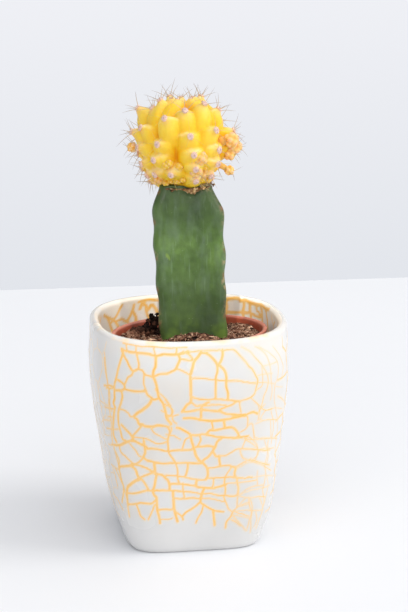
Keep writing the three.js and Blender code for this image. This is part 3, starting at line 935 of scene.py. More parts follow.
@dataclass
class Planter:
    """Softly square glazed planter. Its plan is a superellipse at every height."""

    height: float = 80.5
    wall: float = 3.1
    floor_top: float = 7.5
    floor_fillet: float = 3.0
    foot_ring: float = 4.5
    foot_recess: float = 1.4
    foot_edge: float = 0.8
    power_foot: float = 5.0
    power_waist: float = 3.1
    power_rim: float = 2.5
    soak_reach: float = 0.31
    # Where a reading of the photograph is looked for: below a height, between two distances.
    highest_reading: float = 79.5
    search: tuple[float, float] = (650.0, 800.0)
    search_steps: int = 3000
    outline: Sequence[tuple[float, float]] = (
        (23.6, 0), (25.4, 4.8), (28.7, 16), (31.3, 32), (33.8, 48), (35.2, 64), (34.9, 74), (34.8, 79),
    )  # fmt: skip
    curve: np.ndarray = field(init=False)

    def __post_init__(self) -> None:
        """Samples the outline once."""
        self.curve = spline(self.outline, 160)

    def power(self, height: np.ndarray) -> np.ndarray:
        """Squareness of the plan at a height.

        Args:
            height: Height of each point.

        Returns:
            The power of the superellipse there; 2 is a circle.
        """
        waist = self.height / 2
        knots = [0, waist, self.height]
        return np.interp(height, knots, [self.power_foot, self.power_waist, self.power_rim])

    def half_width(self, height: np.ndarray) -> np.ndarray:
        """Half of the outside width at a height."""
        return np.interp(height, self.curve[:, 1], self.curve[:, 0])

    def place(self, turn: np.ndarray, height: np.ndarray, half: np.ndarray) -> np.ndarray:
        """Points of the plan.

        Args:
            turn: Degrees to the right of the front, about the axis.
            height: Height of each point.
            half: Half-width of the plan there.

        Returns:
            Positions, with x, y and z in the last axis.
        """
        angle = np.radians(np.asarray(turn, dtype=float) - 90)
        power = self.power(height)
        x, y = np.abs(np.cos(angle)) ** power, np.abs(np.sin(angle)) ** power
        reach = half / (x + y) ** (1 / power)
        height = np.broadcast_to(height, reach.shape)
        return np.stack([reach * np.cos(angle), reach * np.sin(angle), height], axis=-1)

    def wall_point(self, turn: np.ndarray, height: np.ndarray, lift: np.ndarray, inside: bool) -> np.ndarray:
        """Points on, or a little off, the wall's outer or inner face.

        Args:
            turn: Degrees to the right of the front.
            height: Height of each point.
            lift: Distance off the face.
            inside: Whether the inner face is meant.

        Returns:
            Positions, with x, y and z in the last axis.
        """
        step = 0.4
        shoulder = self.outline[-1][1]

        def at(turn: np.ndarray, height: np.ndarray) -> np.ndarray:
            """The face itself, which bends over the lip at its top.

            Args:
                turn: Degrees to the right of the front.
                height: Height of each point.

            Returns:
                Positions on the face.
            """
            rise = np.clip((height - shoulder) / (self.height - shoulder), 0, 1)
            bend = self.wall / 2 * (1 - np.sqrt(1 - rise * rise))
            half = self.half_width(height) + (bend - self.wall if inside else -bend)
            return self.place(turn, height, half)

        here = at(turn, height)
        along = at(np.asarray(turn) + step, height) - at(np.asarray(turn) - step, height)
        up = at(turn, np.asarray(height) + step) - at(turn, np.asarray(height) - step)
        normal = unit(np.cross(along, up)) * (-1 if inside else 1)
        return here + normal * np.asarray(lift)[..., None]

    def seen_at(self, across: float, down: float) -> list[float]:
        """Finds the place on the wall that shows at a pixel of the photograph.

        Args:
            across: Pixels from the left.
            down: Pixels from the top.

        Returns:
            Degrees and height, rounded to a degree and half a millimetre.
        """
        way = np.linspace(*self.search, self.search_steps + 1)
        points = CAMERA.spot() + way[:, None] * CAMERA.ray(across, down)
        height = points[:, 2]
        power = self.power(height)
        reach = np.sum(np.abs(points[:, :2]) ** power[:, None], axis=1) ** (1 / power)
        within = (height > 0) & (height < self.highest_reading) & (reach < self.half_width(height))
        x, y, z = points[np.argmax(within)]
        turn = (math.degrees(math.atan2(y, x)) + 270) % 360 - 180
        return [float(round(turn)), round(z * 2) / 2]

    def profile(self) -> list[tuple[float, float]]:
        """Half-widths and heights of the rings, from under the foot over the lip to the floor.

        Returns:
            A half-width and a height for each ring.
        """
        foot = self.outline[0][0]
        recess = foot - self.foot_ring
        rings = [(recess * share, self.foot_recess) for share in (0.02, 0.3, 0.6, 0.85)]
        rings += [(recess - self.foot_recess, self.foot_recess), (recess - 0.3, 0.25), (recess, 0.0)]
        rings += [(foot - 3, 0.0), (foot - self.foot_edge, 0.0), (foot - 0.3, 0.2), (foot + 0.1, 0.8)]
        rings += [(float(self.half_width(y)), y) for y in np.linspace(1.6, self.outline[-1][1], 132)]
        shoulder_x, shoulder_y = self.outline[-1]
        radius, rise = self.wall / 2, self.height - shoulder_y
        for step in range(1, 16):
            turn = math.pi * step / 16
            rings.append((shoulder_x - radius + radius * math.cos(turn), shoulder_y + rise * math.sin(turn)))
        fillet_top = self.floor_top + self.floor_fillet
        inner = [*np.linspace(shoulder_y - 0.4, 52, 38), *np.linspace(47, fillet_top + 1, 8)]
        rings += [(float(self.half_width(y)) - self.wall, y) for y in inner]
        lowest = float(self.half_width(np.array(fillet_top)))
        for step in range(7):
            turn = math.pi / 2 * step / 6
            inset = self.floor_fillet * (1 - math.cos(turn))
            rings.append((lowest - self.wall - inset, fillet_top - self.floor_fillet * math.sin(turn)))
        rings += [(lowest * share, self.floor_top) for share in (0.6, 0.3, 0.02)]
        return rings

    def turns(self) -> np.ndarray:
        """Turns of the columns, closest together on the front and then on the back."""
        spans = ((-62, 58, 240), (58, 130, 48), (130, 230, 100), (230, 298, 46))
        return np.concatenate([np.linspace(start, end, count, endpoint=False) for start, end, count in spans])

    def build(self) -> None:
        """Makes the glazed body and its crackle."""
        turn = self.turns()
        rings = [self.place(turn, np.full(turn.shape, y), np.full(turn.shape, x)) for x, y in self.profile()]
        points, faces = capped_rings(np.array(rings))
        outer, inner = Crackle(self, inside=False, seed=5), Crackle(self, inside=True, seed=11)
        skin = Skin()
        within = self.within(turn)
        # inner marks the inside, which the glaze paints whiter as painted light.
        skin.add(points, faces, soak=self.soak(points, within, [outer, inner]), inner=within)
        dress(skin.build("planter_body", GlazeFinish().material()), Slot.GLAZE, "planter")
        stain = StainFinish().material()
        dress(outer.build("planter_crackle", stain), Slot.GLAZE)
        dress(inner.build("planter_crackle_inside", stain), Slot.GLAZE)

    def within(self, turn: np.ndarray) -> np.ndarray:
        """1 for each of the body's points that is past the lip, on the inner wall or floor.

        Args:
            turn: Turns of the body's columns.

        Returns:
            1 or 0 for each point.
        """
        heights = np.array([height for _, height in self.profile()])
        past = np.arange(len(heights)) > np.argmax(heights)
        return np.concatenate([np.repeat(past, len(turn)), [False, True]]) * 1.0

    def soak(self, points: np.ndarray, within: np.ndarray, crackles: Sequence["Crackle"]) -> np.ndarray:
        """How much stain has soaked into the glaze.

        Args:
            points: Points of the body.
            within: Which of them are inside.
            crackles: The crackle of its faces.

        Returns:
            A value from 0 to 1 for each point.
        """
        places, strengths, reaches = [], [], []
        for crackle in crackles:
            for crack in crackle.cracks:
                turn, height = crack.line.T
                on_wall = self.wall_point(turn, height, np.zeros(len(turn)), crackle.inside)
                places.extend(on_wall.tolist())
                strengths.extend([crack.strength] * len(on_wall))
                reaches.extend([self.soak_reach + 0.32 * crack.width] * len(on_wall))
        tree = KDTree(len(places))
        for number, place in enumerate(places):
            tree.insert(place, number)
        tree.balance()
        soaked = np.zeros(len(points))
        for number, point in enumerate(points.tolist()):
            _, nearest, gap = tree.find(point)
            soaked[number] = strengths[nearest] * math.exp(-((gap / reaches[nearest]) ** 2.4))
        height = points[:, 2]
        lip = smoothstep(height, 78.8, 79.8) * np.clip(0.6 * octaves(points, 4.5, 2, 31), 0, 0.45)
        tinge = within * smoothstep(height, 50, 60) * np.clip(0.13 + 0.16 * octaves(points, 8, 2, 37), 0, 0.4)
        stain = smoothstep(height, 12, 17) * np.clip(0.05 + 0.07 * octaves(points, 9, 2, 41), 0, 0.2)
        return np.clip(np.maximum.reduce([soaked, lip, tinge, stain]), 0, 1)


# Cracks, each as its width in millimetres and then its points. The points of the front were read
# as pixels across and down in the whole photograph, or in a crop of it that was enlarged.
FRONT_IN_PHOTO = """
0.9 121,349 128,351 136,352.5 147,353 155,355 166,355 177,354 184,353 188,351
0.5 126,345 127,351
0.4 136,347 136,352
0.4 154,348 155,355
0.5 177,349 177,354
0.8 123,352 121,359 119,366 117,374 115.5,380 114,387
0.8 122,350 125,356 127,362 130,368 133,371 139,368.5
0.6 136,353 137,358 139,364 139,368.5 143,371 146,375 153,376.5
0.6 133,371 131,375 128,378 127,381 124,385
0.8 117,379 121,382 124,385 125,389
0.9 155,355 155,365 154,372 154,377 155,382 158,390 160,398 163,404 166,411 168,418 171,424
0.7 154,377 160,374.5 168,373 175,370 177,369
0.8 178,354 180,359 178,364 177,369
0.6 180,359 187,360 193,361
0.6 184,352 189,354 193,359
0.5 177,369 184,371.5 191,375
0.9 201,352 198,357 195,361 192,368 191,375 191,384 191,393 191,402 188,405 185,407 182,411
0.5 192,378 200,378.5 215,379.5 227,380.5 238,381 250,382.5 256,383
0.8 201,352 206,353.5 211,357 216,361 218,364
0.4 188,351 201,351.5 215,350 222,350.5 232,349
0.8 222,350 221.5,356 221,361 218.5,364 221,367 224,371 226,378 227,386 228,393 228,400
0.7 218,364 217,371 215.5,378 215,388 215,399
0.7 232,349 236,351 240,355 244,359 249,365 252,370 256,376 257,381 256,390 254,394 250,397
    245,399.5 240,401
0.55 242,347 249,351 255,357 260,362 264,367 267,374 268,382 266,389 264,397 262,405 259,412
0.45 254,346 261,350 265,354 269,360 271,368 271.5,380 272,390 271,400
0.4 261,364 262,374 262,384 258,389 256,391
0.6 191,396 198,398.5 207,400 215,399.5 228,400.5 240,401
0.6 191,402 196,405 201,406
0.8 208,402 203,405 201,409 201,417
0.8 182,411 190,411 200,410 209,410 219,411 225,413 231,414.5 240,414.5 247,414 254,412 258,414
0.7 219,410 225,407 231,405 236,402.5 240,401
0.9 184,418 193,418.5 203,420 211,421 222,420 231,418 241,416 247,415
0.5 240,401 240,406 241,412
0.4 251,397 255,402 258,406 259,414 258,420
0.4 264,405 260,409 258,414
0.6 246.5,414 247,420 248,426
0.7 104,386 110,386 114,387
1 114,387 115,392 114,398 113,403 115,407 114,414 114,421 113,430 114,436 117,442
0.8 116,390 121,391 121,400 119,408 118,416 118.5,424 120,432 123,438 126,441
0.8 115,390.5 122,390.5 125,389 130,390.5 137,391.5 145,390.5
0.5 144,375 144.5,383 145.5,390
0.8 145.5,391 148,394.5 151,398 153,399.5 160,398
1 152,399 149,403 146,407 141,410.5 137,413.5 134,417
0.9 134,417 137,420.5 140,424 142.5,424.5 146,426 152,427 159,425.5 168,426
0.55 119,408.5 124,410 128,413 131,416 134,417
0.5 164,404 169,407 172,412 169,417
0.45 104,358 105,370 107,380 109,392 110,404 112,412
0.9 121,425 125,429 129,433 132,436.5 133.5,441
0.6 142.5,424.5 140,428 136,432 132,436
1 112,444.5 119,445 124,443 128,442 134,441 140,444 145,446 149,448
0.5 133,436 140,438 147,440 153,442 159,444 166,443
0.8 145,441 145,446 144.5,452 143.5,456
0.7 148,448 157,449 163,450 168,452
0.4 151,428 155,433 162,437 168,440
0.6 168,426 169,432 168,440 169,447 168,452 171,456 174,461 175,463
0.7 168,452 176,450 184,450 192,449
0.9 177,428 184,430.5 191,435
0.5 190,436 186,439 184,444 183,450
0.6 119,446 121,452 126,456 131,461 136,464
0.5 129,443 135,448 138,454 142,457
0.6 114,448 117,454 119,460 119,467
0.6 143,457 140,461 135,464
0.8 143,457 147,460 152,462.5 160,463 168,463.5 176,463.5 185,463 195,463 201,463
0.9 119,467 127,465.5 132,467 135,470 137,475 139,479
0.7 127,465 135,464.5 143,467 150,470 155,473
0.9 154,463 155,468 156,474
0.7 139,478 145,476 150,473 155,472.5
0.8 157,474 162,475.5 166,479 168,480 169,485 170,490
0.8 157,474 156,480 154,486 153,491
1 139,479 135,481 131,485 128,488 127.5,495 127.5,503
0.7 140,479 144,481 147,486 149,490 153,491
0.7 128,493 136,493 144,492 149,490
0.8 153,491 155,495 157,497 157,503 158,510 160,519 161,523
0.7 153,491 160,491 170,490.5 180,491.5 190,492
0.6 119,467 121,475 122,482 124,488 123,495 122,502
0.4 113,468 115,475 116,480 118,486
0.7 127.5,504 136,504 144,503 152,503 157,500
0.45 128,504 129,510 130,517
0.6 136,504 138,511 141,516 144,519
0.5 155,504 152,511 149,520
0.6 158,510 165,510 172,509
0.9 173,491 173,500 174,508 176,515 177,521
0.5 176,464 177,471 178,478 180,484
0.6 166,475 176,475.5 184,477 193,479 201,479.5 206,479
0.7 188,464 187,469 186,476
0.7 169,484 176,484 184,485 192,486 197,486
0.45 182,484 183,490 184,497
0.6 173,498 180,499 187,499 195,498 201,499
0.6 176,512 181,516 184,520
0.7 181,516 186,512 191,509 196,506 201,502
0.35 160,519 166,519 172,518
0.9 191,436 192.5,443 194,449 195.5,455 199,459 203,463
0.8 191,435 198,435 205,434 215,436 224,438 232,438 240,437 248,437
0.6 212,421 213,429
0.8 206,434 209,431 214,429.5 224,428 232,428 237,430.5 239.5,437
0.9 224,420 224,428
0.5 240,431.5 245,429 249,425 253,424 253.5,431 254,438
0.6 199,435 200,440 198,446
0.8 195,447 200,446.5 208,445.5 213,447
0.8 222,438 218,442 215,447 212,452
0.8 212,452 208,456 204,460 201,463
0.8 213,452 216,455.5 219,456
0.7 219,456 225,455 231,452 236,450 242,449 250,449 257,449 263,450 270,449
0.8 219,456 219,461 220,466
0.8 203,463 206,467 208,472 207,477 206,479
0.6 207,468 213,467.5 220,466 228,465.5 232,466
0.7 240,450 241,455 245,459 250,460.5 256,461 263,463 270,465
0.7 250,460 245,462 240,465 235,467.5
0.9 232,466 235,468 235,474 236,478
0.5 232,467 228,472 225,477
0.7 206,478 213,477.5 220,477 228,477.5 236,478 245,477.5 252,477
0.6 225,477 225,483 226,488 225,494
0.8 237,478 237,483 238,488 238,495
0.5 226,484 232,483.5 237,483 243,482 250,481 256,480
0.8 197,480 197,486 204,487.5 212,488 219,486 225,485
0.45 213,478 213,484 212,488
0.9 204,488 203,493 201,499 201,503
0.6 190,492 202,494 210,494 218,495 224,495.5 232,496 240,495
0.4 201,499 208,498 216,499 224,501
0.7 201,503 206,506 210,509 216,511 224,511
0.5 204,505 202,511 199,517 196,523
0.8 213,511 213.5,518 214,525
0.5 224,496 225,503 229,508 233,512
0.7 233,512 230,517 227,522 226,528
0.5 233,511 238,513 244,515 249,517
0.6 232,519 237,523 241,526
0.5 249,497 250,504 251,512 249,520 247,528
0.5 238,495 244,497 250,497.5 258,497 265,497
0.45 249,503 246,503 240,505 236,508
0.45 238,497 236,503 236,508 233,511
0.45 240,495 244,491 249,488 256,486 263,485
0.5 248,437 253,440 257,445 258,452 256,460
0.4 246,438 244,443 242,449
0.4 254,437 262,439 271,438
0.4 271,420 271,430 271,438
0.4 268,440 267,448 268,456 266,465
0.4 257,471 257,478 257,485
0.45 264,464 266,472 265,480 263,490 264,500 262,510 258,522
0.45 249,511 256,511 262,510
0.45 256,512 256,520 254,527
0.4 258,414 259,419 263,421 268,420
"""
CROP_CORNER = (85, 340)
CROP_ZOOM = 5
FRONT_IN_CROP = """
0.4 870,35 925,70 960,110 965,170 950,230 945,300
0.35 940,30 975,80 990,130 985,180
0.4 860,215 905,212 950,218
0.35 885,130 925,120 960,110
0.35 860,180 900,170 935,172
0.5 840,290 870,320 900,350 935,345
0.45 870,400 905,355 950,340 985,345
0.5 850,420 890,405 935,400 965,395
0.4 930,350 940,420 935,480 930,520
0.4 965,395 960,480 950,560 955,620
0.6 790,490 850,495 905,490 960,490
0.5 800,500 840,520 865,545 860,575 830,600
0.4 865,545 905,540 945,535
0.4 900,500 910,560 900,620 905,655
0.5 760,640 820,610 870,620 930,650
0.4 760,695 830,685 900,680 940,675
0.4 775,775 830,750 890,735 925,725
0.4 740,860 790,800 820,790 835,830 830,900 825,960
0.35 760,835 820,820
0.35 750,855 835,850
0.35 745,872 830,890
0.5 735,870 780,920 810,955
0.4 870,790 890,840 870,900 855,945
0.4 945,300 955,350 965,395
0.35 905,655 915,720 900,790 890,840
0.35 950,230 985,235
0.45 95,60 105,150 115,230 120,330 130,400 135,480 150,560 170,620
0.35 60,200 75,300 90,400 100,470
0.4 75,300 120,330
0.4 90,400 130,400
0.6 105,240 145,240
0.6 100,335 150,345
0.4 115,385 140,385
0.5 110,440 165,445
0.4 120,520 160,530
0.5 150,640 180,700 200,760 215,830
0.4 140,760 165,800 190,850
0.35 130,620 150,640 175,650
0.4 400,300 430,340 440,400 455,420
0.4 385,350 430,380 470,375
0.4 400,470 440,480 480,500
0.35 395,430 430,440 425,475
0.5 590,330 640,325 700,330
0.4 355,250 400,290 425,330
"""
# The crack along the lip and those of the inner face that show over the rim, with their points as
# degrees to the right of the front and height in millimetres.
LIP_CRACK = "0.4 -45,79.2 -36,78.8 -28,79.1 -18,78.8 -9,79"
INNER_CRACKS = """
1.2 236,77 231,75.5 228,73 224,69
1.1 231,75.5 227,74.5 222,72.5 219,70
1 226,73 222,74.5 219,77 217,78.5
1 222,72.5 217,73 213,72 209,75.5 208,78
1.1 209,75.5 207,73.5 206,71.5 204,68
1 213,72 210,70 206,71.5
1.2 204,76 202,78 200,77 198,75.5 196,77 194,76 191,73
1 205,78.5 200,79 195,79 190,78.5 184,78.5
0.9 200,77 199,74 197,71 196,68
0.9 191,73 190,70 188,67
1.3 152,79 147,79 143,79.3 139,79.8 136,79 133,79.5 128,79 123,79 118,79.5 112,79 106,79.5
1 147,79 146,76 147,73.5 147,70
1.1 134,79.3 134,77 135,74.5 134,71
1 129,79 129,77 129,75 128,71
1 147,74 141,74 135,74.5 129,75 123,74.5 117,75
1.1 118,79.5 117,77 117,75 117,71
0.9 112,79 110,76 109,73 108,69
0.9 123,79 123,77 120,76 117,75
"""


def read_cracks(text: str) -> list[tuple[float, list[list[float]]]]:
    """Reads the width of each crack in a text, and the two numbers of each of its points.

    Args:
        text: Cracks one after another: a width, then points with a comma in each.

    Returns:
        The width and the points of each crack.
    """
    found: list[tuple[float, list[list[float]]]] = []
    for part in text.split():
        if "," in part:
            found[-1][1].append([float(number) for number in part.split(",")])
        else:
            found.append((float(part), []))
    return found


@dataclass(frozen=True)
class Crack:
    """One crack: its points as degrees and height, its strength and its width."""

    line: np.ndarray
    strength: float
    width: float


@dataclass
class Crackle:
    """Stained cracks of the glaze, as thin ribbons that lie on the wall."""

    planter: Planter
    inside: bool
    seed: int
    mm_per_degree: float = 0.66
    lift: float = 0.035
    core: float = 0.5
    bottom: float = 9.0
    bottom_inside: float = 52.0
    lowest_seed_inside: float = 50.0
    top: float = 77.6
    tries: int = 9000
    cell_sizes: Sequence[tuple[float, float]] = (
        (5, 6.2), (25, 6.6), (40, 6.4), (52, 8.5), (66, 11), (80, 10),
    )  # fmt: skip
    drawn_outside: tuple[float, float] = (-58, 107)
    drawn_inside: tuple[float, float] = (104, 134)
    cracks: list[Crack] = field(init=False)

    def __post_init__(self) -> None:
        """Lays the cracks once."""
        self.cracks = self.grown() + self.drawn()

    def cell(self, height: float) -> float:
        """Typical size of a crackle cell at a height, in millimetres."""
        return float(np.interp(height, *np.transpose(self.cell_sizes)))

    def seeds(self) -> np.ndarray:
        """Scatters the middles of the cells, no two closer than the cell size.

        Returns:
            Distance round and height of each middle.
        """
        random = np.random.default_rng(self.seed)
        around = 360 * self.mm_per_degree
        low = self.lowest_seed_inside if self.inside else self.bottom
        found: list[tuple[float, float]] = []
        for _ in range(self.tries):
            place, height = random.uniform(0, around), random.uniform(low - 6, self.top + 5)
            near = self.cell(height) * 0.74
            for other, level in found:
                aside = abs(place - other)
                aside = min(aside, around - aside)
                if (aside * 0.9) ** 2 + ((height - level) * 1.15) ** 2 < near * near:
                    break
            else:
                found.append((place, height))
        return np.array(found)

    def edges(self, seeds: np.ndarray) -> list[tuple[np.ndarray, np.ndarray]]:
        """Borders between neighbouring cells.

        Args:
            seeds: The middles of the cells, as distance round and height.

        Returns:
            The two ends of each border.
        """
        around = 360 * self.mm_per_degree
        shifted = [seeds + np.array([shift, 0]) for shift in (-around, 0, around)]
        every = np.concatenate(shifted)
        number = np.tile(np.arange(len(seeds)), 3)
        found = []
        for i, middle in enumerate(seeds):
            away = np.hypot(*(every - middle).T)
            order = np.argsort(away)
            polygon = [middle + np.array(corner) * 30.0 for corner in ((-1, -1), (1, -1), (1, 1), (-1, 1))]
            owner = [-1, -1, -1, -1]
            for other in order[1:40]:
                if away[other] > 2 * max(np.hypot(*(p - middle)) for p in polygon):
                    break
                half, normal = (every[other] + middle) / 2, every[other] - middle
                side = [float(np.dot(p - half, normal)) for p in polygon]
                clipped, owners = [], []
                for k, point in enumerate(polygon):
                    following = (k + 1) % len(polygon)
                    kept = side[k] <= 0
                    if kept:
                        clipped.append(point)
                        owners.append(owner[k])
                    if kept != (side[following] <= 0):
                        t = side[k] / (side[k] - side[following])
                        clipped.append(point + (polygon[following] - point) * t)
                        owners.append(int(number[other]) if kept else owner[k])
                polygon, owner = clipped, owners
            for k, neighbour in enumerate(owner):
                if neighbour > i:
                    found.append((polygon[k], polygon[(k + 1) % len(polygon)]))
        return found

    def drawn(self) -> list[Crack]:
        """Lays the cracks whose run is given.

        Returns:
            The cracks.
        """
        laid = []
        for width, points in read_cracks(INNER_CRACKS) if self.inside else self.front():
            line = spline(points, 12 * (len(points) - 1))
            jog = 0.12 * octaves(np.column_stack([line, line[:, 0] * 0]), 3.0, 2, self.seed)
            line = line + np.column_stack([jog / self.mm_per_degree, jog[::-1]])
            # Painted light: on the outside, the front's cracks are painted paler towards the right, where the
            # light falls brightest.
            right = 0 if self.inside else float(smoothstep(line[:, 0].mean(), 8, 42))
            strength = (0.62 + 0.5 * width) * (1 - 0.5 * right)
            laid.append(Crack(line, strength, width * 1.05))
        return laid

    def front(self) -> list[tuple[float, list[list[float]]]]:
        """Widths of the front's cracks, with degrees and height of their points.

        Returns:
            A width and points for each crack.
        """
        found = []
        readings = ((FRONT_IN_PHOTO, (0, 0), 1), (FRONT_IN_CROP, CROP_CORNER, CROP_ZOOM))
        for text, corner, zoom in readings:
            for width, points in read_cracks(text):
                pixels = np.array(points) / zoom + corner
                found.append((width, [self.planter.seen_at(across, down) for across, down in pixels]))
        # Where two cracks share a point, their order picks the one whose stain soaks in.
        return [found[0], *read_cracks(LIP_CRACK), *found[1:]]

    def grown(self) -> list[Crack]:
        """Lays the cracks of all other sides as the borders of cells.

        Returns:
            The cracks.
        """
        random = np.random.default_rng(self.seed + 1)
        floor = self.bottom_inside if self.inside else self.bottom
        drawn_start, drawn_span = self.drawn_inside if self.inside else self.drawn_outside
        laid = []
        for start, end in self.edges(self.seeds()):
            length = float(np.hypot(*(end - start)))
            if length < 0.7 or random.random() < 0.05:
                continue
            steps = max(3, int(length / 0.6))
            t = np.linspace(0, 1, steps + 1)
            line = start + (end - start) * t[:, None]
            bow = random.uniform(-0.06, 0.06) * length
            normal = np.array([start[1] - end[1], end[0] - start[0]]) / length
            wobble = octaves(np.column_stack([line, np.full(len(line), self.seed)]), 2.4, 2, self.seed) * 0.16
            line = line + normal * (bow * np.sin(np.pi * t) + wobble * np.sin(np.pi * t))[:, None]
            line[:, 0] /= self.mm_per_degree
            middle = (line[:, 0].mean() + 180) % 360 - 180
            if (middle - drawn_start) % 360 < drawn_span:
                continue
            ragged = floor + 1.6 * math.sin(line[0][0] * 0.13) + random.uniform(-1.2, 1.2)
            line = line[(line[:, 1] > ragged) & (line[:, 1] < self.top)]
            width = random.uniform(0.6, 1.1) if self.inside else random.uniform(0.4, 0.9)
            # Painted shade: outside, the cracks are painted fainter round 78 degrees left of the front, as
            # they look on that shaded side.
            faint = 1.0 if self.inside else 1 - 0.75 * math.exp(-(((middle + 78) / 28) ** 2))
            if len(line) > 2:
                laid.append(Crack(line, random.uniform(0.6, 1.0) * faint, width))
        return laid

    def build(self, name: str, material: bpy.types.Material) -> bpy.types.Object:
        """Makes the ribbons.

        Args:
            name: Name of the object.
            material: The stain.

        Returns:
            The new object.
        """
        skin = Skin()
        for crack in self.cracks:
            self.ribbon(skin, crack)
        return skin.build(name, material)

    def ribbon(self, skin: Skin, crack: Crack) -> None:
        """Adds one crack.

        Args:
            skin: What it is added to.
            crack: The crack to lay.
        """
        line, strength, width = crack.line, crack.strength, crack.width
        flat = line * np.array([self.mm_per_degree, 1.0])
        along = unit(np.gradient(flat, axis=0))
        side = np.column_stack([-along[:, 1], along[:, 0]])
        swell = 0.75 + 0.35 * value_noise(np.column_stack([flat, flat[:, 0] * 0]), 3.0, 9)
        count = np.arange(len(line))
        swell = swell * np.clip((np.minimum(count, count[::-1]) + 0.4) / 3, 0, 1)
        across = np.array([-1.0, -0.5, 0.5, 1.0])
        offset = side[:, None] * (across[None, :] * (swell * width * self.core / 2)[:, None])[..., None]
        places = flat[:, None] + offset
        swell = np.maximum(swell, 0.4)
        lift = np.broadcast_to(self.lift * np.array([0.15, 1.0, 1.0, 0.15]), places.shape[:2])
        turn, height = places[..., 0] / self.mm_per_degree, places[..., 1]
        points = self.planter.wall_point(turn, height, lift, self.inside)
        stain = strength * swell[:, None] * np.array([0.25, 1.0, 1.0, 0.25])
        faces = grid_faces(len(line), 4, closed=False)
        if not self.inside:
            faces = [face[::-1] for face in faces]
        skin.add(points, faces, stain=np.clip(stain, 0, 1))


# Nursery pot

@dataclass
class NurseryPot:
    """Thin round pot with a rolled lip, in the leaning frame."""

    height: float = 66.4
    rim_radius: float = 28.0
    band_radius: float = 27.3
    neck_radius: float = 26.3
    base_radius: float = 18.3
    band_height: float = 7.0
    band_growth: float = 0.2
    lip: float = 1.4
    lip_width: float = 1.6
    wall: float = 1.0
    floor: float = 1.1
    drain_radius: float = 2.4
    drain_circle: float = 9.5
    drains: int = 4
    segments: int = 160

    def inside(self, height: np.ndarray) -> np.ndarray:
        """Inner radius at a height.

        Args:
            height: Height of each point.

        Returns:
            The radius.
        """
        neck_top = self.height - self.band_height - self.lip_width
        knots = [self.floor, neck_top, self.height - self.lip]
        base, neck = self.base_radius - self.wall, self.neck_radius - self.wall
        return np.interp(height, knots, [base, neck, self.rim_radius - self.lip_width])

    def profile(self) -> np.ndarray:
        """Radius and height of the rings, from under the floor over the lip to the floor.

        Returns:
            A radius and a height for each ring.
        """
        band_foot = self.height - self.band_height
        top, lip, floor, wall = self.height, self.lip, self.floor, self.wall
        base, neck, band, rim = self.base_radius, self.neck_radius, self.band_radius, self.rim_radius
        rings = [(3, 0), (12, 0), (base - 0.7, 0), (base, 0.7), (neck, band_foot - 0.9), (band, band_foot)]
        rings += [(band + self.band_growth, top - lip - 0.3), (rim - 0.1, top - lip), (rim, top - lip * 0.75)]
        rings += [(rim, top - lip * 0.3), (rim - 0.2, top - 0.1), (rim - 0.5, top), (rim - 0.9, top - 0.08)]
        rings += [(rim - 1.3, top - 0.3), (rim - self.lip_width, top - 0.8)]
        rings += [(rim - self.lip_width - 0.05, top - lip), (neck - wall, band_foot - self.lip_width)]
        rings += [(base - wall, floor + 0.7), (base - wall - 0.7, floor), (12, floor), (3, floor)]
        return np.array(rings, dtype=float)

    def build(self) -> None:
        """Makes the pot with its drain holes."""
        rings = [circle(radius, height, self.segments) for radius, height in self.profile()]
        points, faces = capped_rings(np.array(rings))
        dust = 1 - smoothstep(points[:, 2], self.height - 3.2, self.height - 0.6) * 0.75
        skin = Skin()
        # Painted highlight on the top of the lip, read by the plastic's shader.
        lip = 0.6 * smoothstep(points[:, 2], self.height - 0.8, self.height - 0.2)
        skin.add(LEAN.to_world(points), faces, dust=dust, lip=lip)
        pot = skin.build("nursery_pot_body", PlasticFinish().material())
        self.cut_drains(pot)
        dress(pot, Slot.PLASTIC, "nursery_pot")

    def cut_drains(self, pot: bpy.types.Object) -> None:
        """Cuts the drain holes through the floor.

        Args:
            pot: The pot's object.
        """
        for k in range(self.drains):
            angle = 2 * math.pi * (k + 0.5) / self.drains
            middle = np.array([self.drain_circle * math.cos(angle), self.drain_circle * math.sin(angle), 0])
            skin = Skin()
            path = [middle + np.array([0, 0, z]) for z in (-2.0, 4.0)]
            points, faces = tube(np.array(path), [self.drain_radius] * 2, 24)
            skin.add(LEAN.to_world(points), faces)
            cutter = skin.build("drain_cutter", pot.data.materials[0])
            modifier = pot.modifiers.new("drain", "BOOLEAN")
            modifier.operation = "DIFFERENCE"
            modifier.solver = "EXACT"
            modifier.object = cutter
            evaluated = pot.evaluated_get(bpy.context.evaluated_depsgraph_get())
            mesh = bpy.data.meshes.new_from_object(evaluated)
            pot.modifiers.remove(modifier)
            pot.data = mesh
            bpy.data.objects.remove(cutter)


# Rootstock

